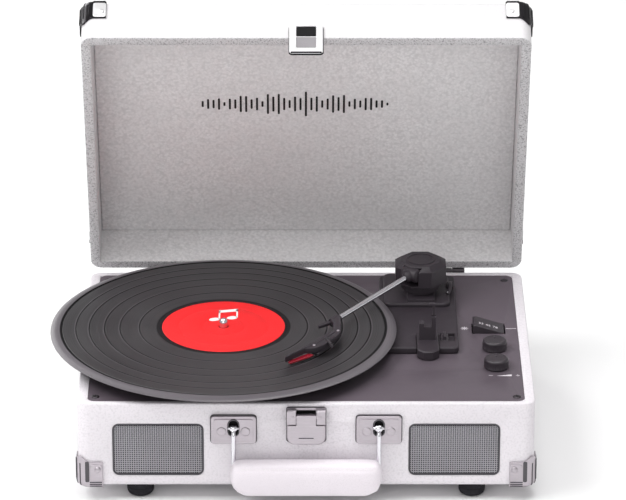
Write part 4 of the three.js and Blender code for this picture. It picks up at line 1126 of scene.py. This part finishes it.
def numerals(name, text, size, thick, place, look, body):
    """Raised numbers, centred on the origin of place and lying in its XY plane."""
    curve = bpy.data.curves.new(name, "FONT")
    curve.body = text
    curve.size = size
    curve.extrude = thick
    curve.align_x = "CENTER"
    curve.align_y = "CENTER"
    curve.resolution_u = 4
    holder = bpy.data.objects.new(name, curve)
    bpy.context.scene.collection.objects.link(holder)
    graph = bpy.context.evaluated_depsgraph_get()
    mesh = bpy.data.meshes.new_from_object(holder.evaluated_get(graph), depsgraph=graph)
    bpy.data.objects.remove(holder)
    bm = bmesh.new()
    bm.from_mesh(mesh)
    bpy.data.meshes.remove(mesh)
    made = new_object(name, bm, place, look, 30)
    return fit(made, body)


def rocker():
    """The speed rocker, with its three speeds as raised numbers along its sloping top."""
    refined("speed_rocker", "knob_plastic", 0.7, "rocker", 3)
    start, end = -ROCKER["length"] / 2 + 1.5, ROCKER["length"] / 2 - 3
    high, low = ROCKER["pivot_z"] + 10.5, ROCKER["pivot_z"] + 4.2
    tilt = math.atan2(high - low, end - start)
    for text, share in (("33", 0.24), ("45", 0.52), ("78", 0.8)):
        x = start + (end - start) * share
        z = high - (high - low) * share + 0.02
        place = on(CASE_FRAME, ROCKER["x"] + x, ROCKER["y"] - 2.5, z, Matrix.Rotation(tilt, 4, "Y"))
        numerals(f"rocker_{text}", text, 4.4, 0.09, place, "deck_ink", "rocker")


def deck_marks():
    """Printed marks: a small star by the speed rocker, its index line, and a volume wedge."""
    top = DECK["top"]
    low, high = top - 0.02, top + 0.07
    parts = []
    for k in range(4):
        ray = slab(round_rect(6.2, 0.7, 0.25, steps=2), low, high)
        parts.append(moved(ray, 127.3, 143, 0, turned(math.pi / 4 * k)))
    parts.append(tablet(8.6, 0.6, 0.25, low, high, 164.6, 142.7, 2))
    parts.append(slab([(150.2, 51.9), (161.5, 51.2), (161.5, 54.4)], low, high))
    for x, wide, tall in ((145.2, 3.2, 0.6), (166.4, 3.2, 0.6), (166.4, 0.6, 3.2)):
        parts.append(tablet(wide, tall, 0.25, low, high, x, 52.6, 2))
    part("deck_marks", merge(*parts), CASE_FRAME, "deck_ink", "base", smooth=30)


# ---------------------------------------------------------------- tonearm
def tonearm():
    """The CAD shapes with finer edges, and the tube, hub, boss, head cover and lever dot drawn anew."""
    for node, look, width, body, slot, segments in (
            ("tonearm_base", "arm_base", 0.45, "base", "arm_plastic", 2),
            ("tonearm_head", "arm_plastic", 0.8, "arm_head", "arm_plastic", 3),
            ("arm_rest", "arm_base", 0.4, "base", "arm_plastic", 2),
            ("arm_clip", "arm_plastic", 0.3, "clip", "arm_plastic", 2),
            ("cue_lever", "arm_plastic", 0.3, "cue", "arm_plastic", 2),
            ("auto_stop_lever", "knob_plastic", 0.35, "auto_stop", "arm_plastic", 2),
            ("cartridge", "knob_plastic", 0.3, "arm", "arm_plastic", 2),
            ("stylus", "red_plastic", 0.2, "arm", "stylus_red", 2)):
        refined(node, look, width, body, segments)
    bar = tube([(-2, 0, 0), (30, 0, 0), (60, 0, 0), (ARM["length"] + 6, 0, 0)], 2.1, 32)
    part("arm_tube_fine", bar, ARM_FRAME, "chrome", "arm", 0.3, smooth=60,
         node="tonearm_tube")
    hub = lathe([(0, -5), (4.0, -5), (4.7, -4.4), (4.8, -3.6), (4.8, 4.6), (4.4, 6.6), (3.4, 8), (2.15, 8.6),
                 (2.15, 8), (0, 8)], 40)
    part("arm_hub", moved(hub, turn=ALONG_X), ARM_FRAME, "arm_plastic", "arm", smooth=50)
    barrel = lathe([(0, -7.1), (4.6, -7.1), (5.4, -6.6), (5.7, -5.4), (5.7, 5.4), (5.4, 6.6), (4.6, 7.1),
                    (0, 7.1)], 40)
    part("arm_boss", moved(barrel, turn=UPRIGHT), ARM_FRAME, "arm_plastic", "arm", smooth=50)
    headshell()
    ring = [(11.8, -0.4), (11.8, 0.35), (11.4, 0.6), (10.4, 0.6), (10.0, 0.3), (10.0, -0.15), (0, -0.15),
            (0, -0.4)]
    place = on(CASE_FRAME, ARM["x"], ARM["y"], DECK["top"] + 37.0, turned(math.radians(22.5)))
    part("head_cover", lathe(ring, 48), place, "arm_plastic", "arm_head")
    tip = lathe([(0, 0), (0.55, 0), (0.6, 0.25), (0.45, 0.55), (0, 0.7)], 20)
    dot = moved(tip, 117.2 - 2.4, 187.6, DECK["top"] + 12.0)
    part("cue_dot", dot, CASE_FRAME, "chrome", "cue", smooth=60)


def headshell():
    """The leaf-shaped shell, with a raised spine, three ribs, two screws and a finger lift."""
    refined("headshell", "arm_plastic", 0.7, "arm", 3)
    top = 3.5
    spine = [(27, 12.2), (34, 11.0), (46, 10.6), (60, 8.2), (76, 4.4), (76, 5.4), (61, 9.6), (47, 13.4),
             (35, 14.6), (27, 14.6)]
    part("headshell_spine", slab(spine, top - 0.3, top + 0.45), SHELL_FRAME, "arm_plastic", "arm", 0.3,
         smooth=40)
    for number, x in enumerate((34, 38, 42)):
        rib = tablet(1.2, 4.4, 0.5, top - 0.2, top + 0.35, x, 17.0)
        part(f"headshell_rib_{number}", rib, SHELL_FRAME, "arm_plastic", "arm", 0.15, smooth=40)
    lift = smooth_path([(38, 12.5, top - 0.2), (40.5, 15.5, top + 0.5), (43, 19.4, top + 0.2),
                        (45.6, 22.8, top - 0.4), (48.6, 25.6, top + 0.8)], 6)
    part("finger_lift", sweep(lift, circle(1.25, 16, 0.48)), SHELL_FRAME, "dark_metal", "arm", smooth=60)
    for number, (x, y) in enumerate(((24, 15.2), (54, 12.6))):
        screw(f"headshell_screw_{number}", on(SHELL_FRAME, x, y, top), "arm", "nickel", 1.2, 0.45)


# ---------------------------------------------------------------- lid
def lid_block():
    """The lid's frame for case_rings: lying on its outer face, as the base does."""
    return on(LID_FRAME, 0, -HINGE_Y, LID["height"] + 0.15, Matrix.Rotation(math.pi, 4, "Y"))


def lid_shell():
    """The shell, its rim and inside in their own looks, and the lining's panel."""
    place, home = lid_block(), lid_block().inverted()
    wall, in_x = LID["wall"], CASE["width"] / 2 - LID["wall"]
    body = new_object("lid_case", loft(case_rings(LID["height"], LID["edge"])), place,
                      ["lid_vinyl", "rim_vinyl", "lining"])
    pocket = box_mesh(-in_x, in_x, wall, CASE["depth"] - wall, LID["top"], 60)
    carve(body, new_object("cutter", pocket, place, []))
    for face in body.data.polygons:
        centre = home @ face.center
        facing = (home.to_3x3() @ face.normal).normalized()
        inside = abs(centre.x) < in_x + 0.2 and wall - 0.2 < centre.y < CASE["depth"] - wall + 0.2
        on_rim = facing.z > 0.5 and centre.z > LID["height"] - 1.3
        face.material_index = 1 if on_rim else (2 if inside else 0)
    soften(body, 0.7, 3)
    fit(body, "lid", "lid_shell")
    inset = wall + 0.3
    panel = tablet(CASE["width"] - 2 * inset, CASE["depth"] - 2 * inset, 1.5, LID["top"] + 0.3,
                   LID["top"] + 1.8, 0, CASE["depth"] / 2, 4)
    part("lid_panel", panel, place, "lining", "lid", 0.8, 4, node="lid_lining")


def lid_motif():
    """A generic sound-level pattern: thin upright bars of many heights on the lid's panel."""
    place = on(LID_FRAME, -9, -154, 36.85, Matrix.Rotation(math.pi, 4, "X"))
    count, pitch = 35, 4.4
    parts = []
    for k in range(count):
        step = k - (count - 1) / 2
        envelope = 0.25 + 0.75 * math.cos(step / (count / 2) * math.pi / 2) ** 0.8
        wave = 0.55 + 0.45 * math.sin(k * 1.9) * math.cos(k * 0.83)
        parts.append(tablet(1.7, 2.2 + 25 * envelope * wave, 0.8, -0.05, 0.3, step * pitch, 0, 4))
    part("lid_motif", merge(*parts), place, "lid_ink", "lid", 0.1, smooth=40)


def lid_hasp():
    """A frame brightened as a painted highlight, with a border and a window over the rim in black painted
    shade, a satin tongue, and a black bar of painted shadow at the bottom.
    """
    refined("lid_hasp", "bright_plate", 0.4, "lid", 3)
    place = on(LID_FRAME, 0, -CASE["depth"] - 2.6 - 0.3, 0, UPRIGHT)
    # Painted shade: a black border round the frame.
    part("hasp_border", tablet(27.6, 33.3, 3.0, -0.1, 1.3, 0, -3.6), place, "black_hole", "lid", 0.12, 1,
         cuts=[tablet(25.4, 31.3, 2.0, -2, 4, 0, -3.6)])
    # Painted shade in the window over the rim, and a painted shadow in the black bar under the frame's lower
    # edge.
    for word, shape, look, edge in (("window", (15.6, 10.0, 1.0, 0.5, 1.6, 0, 6.2), "black_hole", 0.15),
                                    ("tongue", (15.6, 12.4, 1.0, 1.1, 1.75, 0, -6.8), "tongue_grey", 0.25),
                                    ("lip", (24.5, 1.5, 0.6, 1.6, 2.35, 0, -19.0), "black_hole", 0.2)):
        part(f"hasp_{word}", tablet(*shape), place, look, "lid", edge)


# ---------------------------------------------------------------- back
def back_panel():
    """The panel, its power inlet and its two line outputs with their sleeves and coloured cores."""
    refined("jack_panel", "arm_base", 0.4, "base")
    refined("dc_jack", "knob_plastic", 0.3, "base")
    refined("line_out_block", "knob_plastic", 0.3, "base")
    back = CASE["depth"]
    for number, (x, look) in enumerate(((10, "white_plastic"), (26, "red_plastic"))):
        place = on(CASE_FRAME, x, back, 32, BACKWARD)
        sleeve = [(4.25, 2.2), (4.7, 2.2), (4.8, 2.5), (4.8, 7.4), (4.6, 7.8), (4.25, 7.8)]
        part(f"line_sleeve_{number}", lathe(sleeve, 40, shut=True), place, "chrome", "base", smooth=40)
        core = [(1.85, 5.0), (4.0, 5.0), (4.0, 8.1), (3.8, 8.3), (2.05, 8.3), (1.85, 8.1)]
        part(f"line_core_{number}", lathe(core, 36, shut=True), place, look, "base", smooth=40)
    for number, (x, z) in enumerate(((-38.5, 42.5), (38.5, 42.5), (-38.5, 21.5), (38.5, 21.5))):
        place = on(CASE_FRAME, x, back + 2.3, z, BACKWARD)
        screw(f"jack_screw_{number}", place, "base", "dark_metal", 1.9, 0.8)


def hinges():
    for word, side in (("left", -1), ("right", 1)):
        refined(f"hinge_leaf_base_{word}", "dark_metal", 0.25, "base")
        refined(f"hinge_leaf_lid_{word}", "dark_metal", 0.25, "lid")
        for number, dx in enumerate((-9, 9)):
            x = side * HINGE_X + dx
            for body, place in (("base", on(CASE_FRAME, x, 257.6, HINGE_Z - 12, BACKWARD)),
                                ("lid", on(LID_FRAME, x, -1.0, 12, BACKWARD))):
                screw(f"hinge_screw_{body}_{word}_{number}", place, body, "nickel", 2.2, 0.8)


# ---------------------------------------------------------------- assembly
def hidden_parts():
    """CAD nodes that keep their own shape: the works inside the case."""
    for node, look in (("speaker_left", "dark_metal"), ("speaker_right", "dark_metal"),
                       ("motor", "dark_metal"), ("motor_pulley", "chrome"), ("drive_belt", "rubber"),
                       ("platter_bearing", "dark_metal"), ("main_board", "board"),
                       ("control_board", "board")):
        mesh = NODES[node].data
        mesh.materials.clear()
        mesh.materials.append(LOOKS[look])


def build_object():
    case_base()
    deck_plate()
    deck_screws()
    transit_screw()
    deck_marks()
    for word, side in (("left", -1), ("right", 1)):
        grille(word, side)
        bracket(word, side)
        for end, back in (("front", False), ("rear", True)):
            y = CASE["depth"] - FOOT["inset"] if back else FOOT["inset"]
            foot(f"foot_{end}_{word}", side * FOOT["x"], y)
            corner_cap(f"base_cap_{end}_{word}", CASE_FRAME, CASE["edge"], side, back, "base",
                       "nickel", "nickel", "cap_shade")
            # The lid caps' shell and ribs are a painted dark reflection, and their panels and rivet a painted
            # highlight.
            corner_cap(f"lid_cap_{end}_{word}", lid_block(), LID["edge"], -side, back, "lid",
                       "cap_black", "bright_plate", "cap_black")
    handle_wire()
    handle_grip()
    latch()
    platter()
    record()
    label()
    spindle()
    knob("mode_knob", KNOB["mode_y"], "mode")
    knob("volume_knob", KNOB["volume_y"], "volume")
    rocker()
    tonearm()
    lid_shell()
    lid_motif()
    lid_hasp()
    back_panel()
    hinges()
    hidden_parts()


# ---------------------------------------------------------------- studio
def make_floor():
    """A plain pale floor, well past the picture's edges."""
    bm = bmesh.new()
    half = 9.0
    bm.faces.new([bm.verts.new((x * half, y * half, 0)) for x, y in ((-1, -1), (1, -1), (1, 1), (-1, 1))])
    mesh = bpy.data.meshes.new("floor")
    bm.to_mesh(mesh)
    bm.free()
    floor = bpy.data.objects.new("floor", mesh)
    bpy.context.scene.collection.objects.link(floor)
    s = Surface("floor", (0.9, 0.9, 0.9, 1), 0.8, specular=0.1)
    mesh.materials.append(s.material)


def soft_light(name, place, aim, size, watts):
    data = bpy.data.lights.new(name, "AREA")
    data.shape = "RECTANGLE"
    data.size, data.size_y = size
    data.energy = watts
    made = bpy.data.objects.new(name, data)
    bpy.context.scene.collection.objects.link(made)
    made.location = place
    made.rotation_euler = (Vector(aim) - Vector(place)).to_track_quat("-Z", "Y").to_euler()


def make_studio():
    world = bpy.data.worlds.new("studio")
    world.use_nodes = True
    bpy.context.scene.world = world
    world.node_tree.nodes["Background"].inputs["Color"].default_value = (1, 1, 1, 1)
    world.node_tree.nodes["Background"].inputs["Strength"].default_value = 0.47
    soft_light("key", (-1.5, -0.5, 2.3), (0, 0, 0.1), (1.7, 1.3), 43)
    soft_light("fill", (-0.5, -3.0, 1.5), (0, 0, 0.15), (2.4, 1.6), 19)
    soft_light("top", (0.4, -0.15, 2.4), (0, 0, 0.1), (1.8, 1.0), 25)
    soft_light("rim", (-1.7, 2.6, 1.3), (-0.1, 0, 0.1), (1.4, 1.2), 26)
    bpy.context.scene.view_settings.view_transform = "Standard"


build_object()
make_floor()
make_studio()
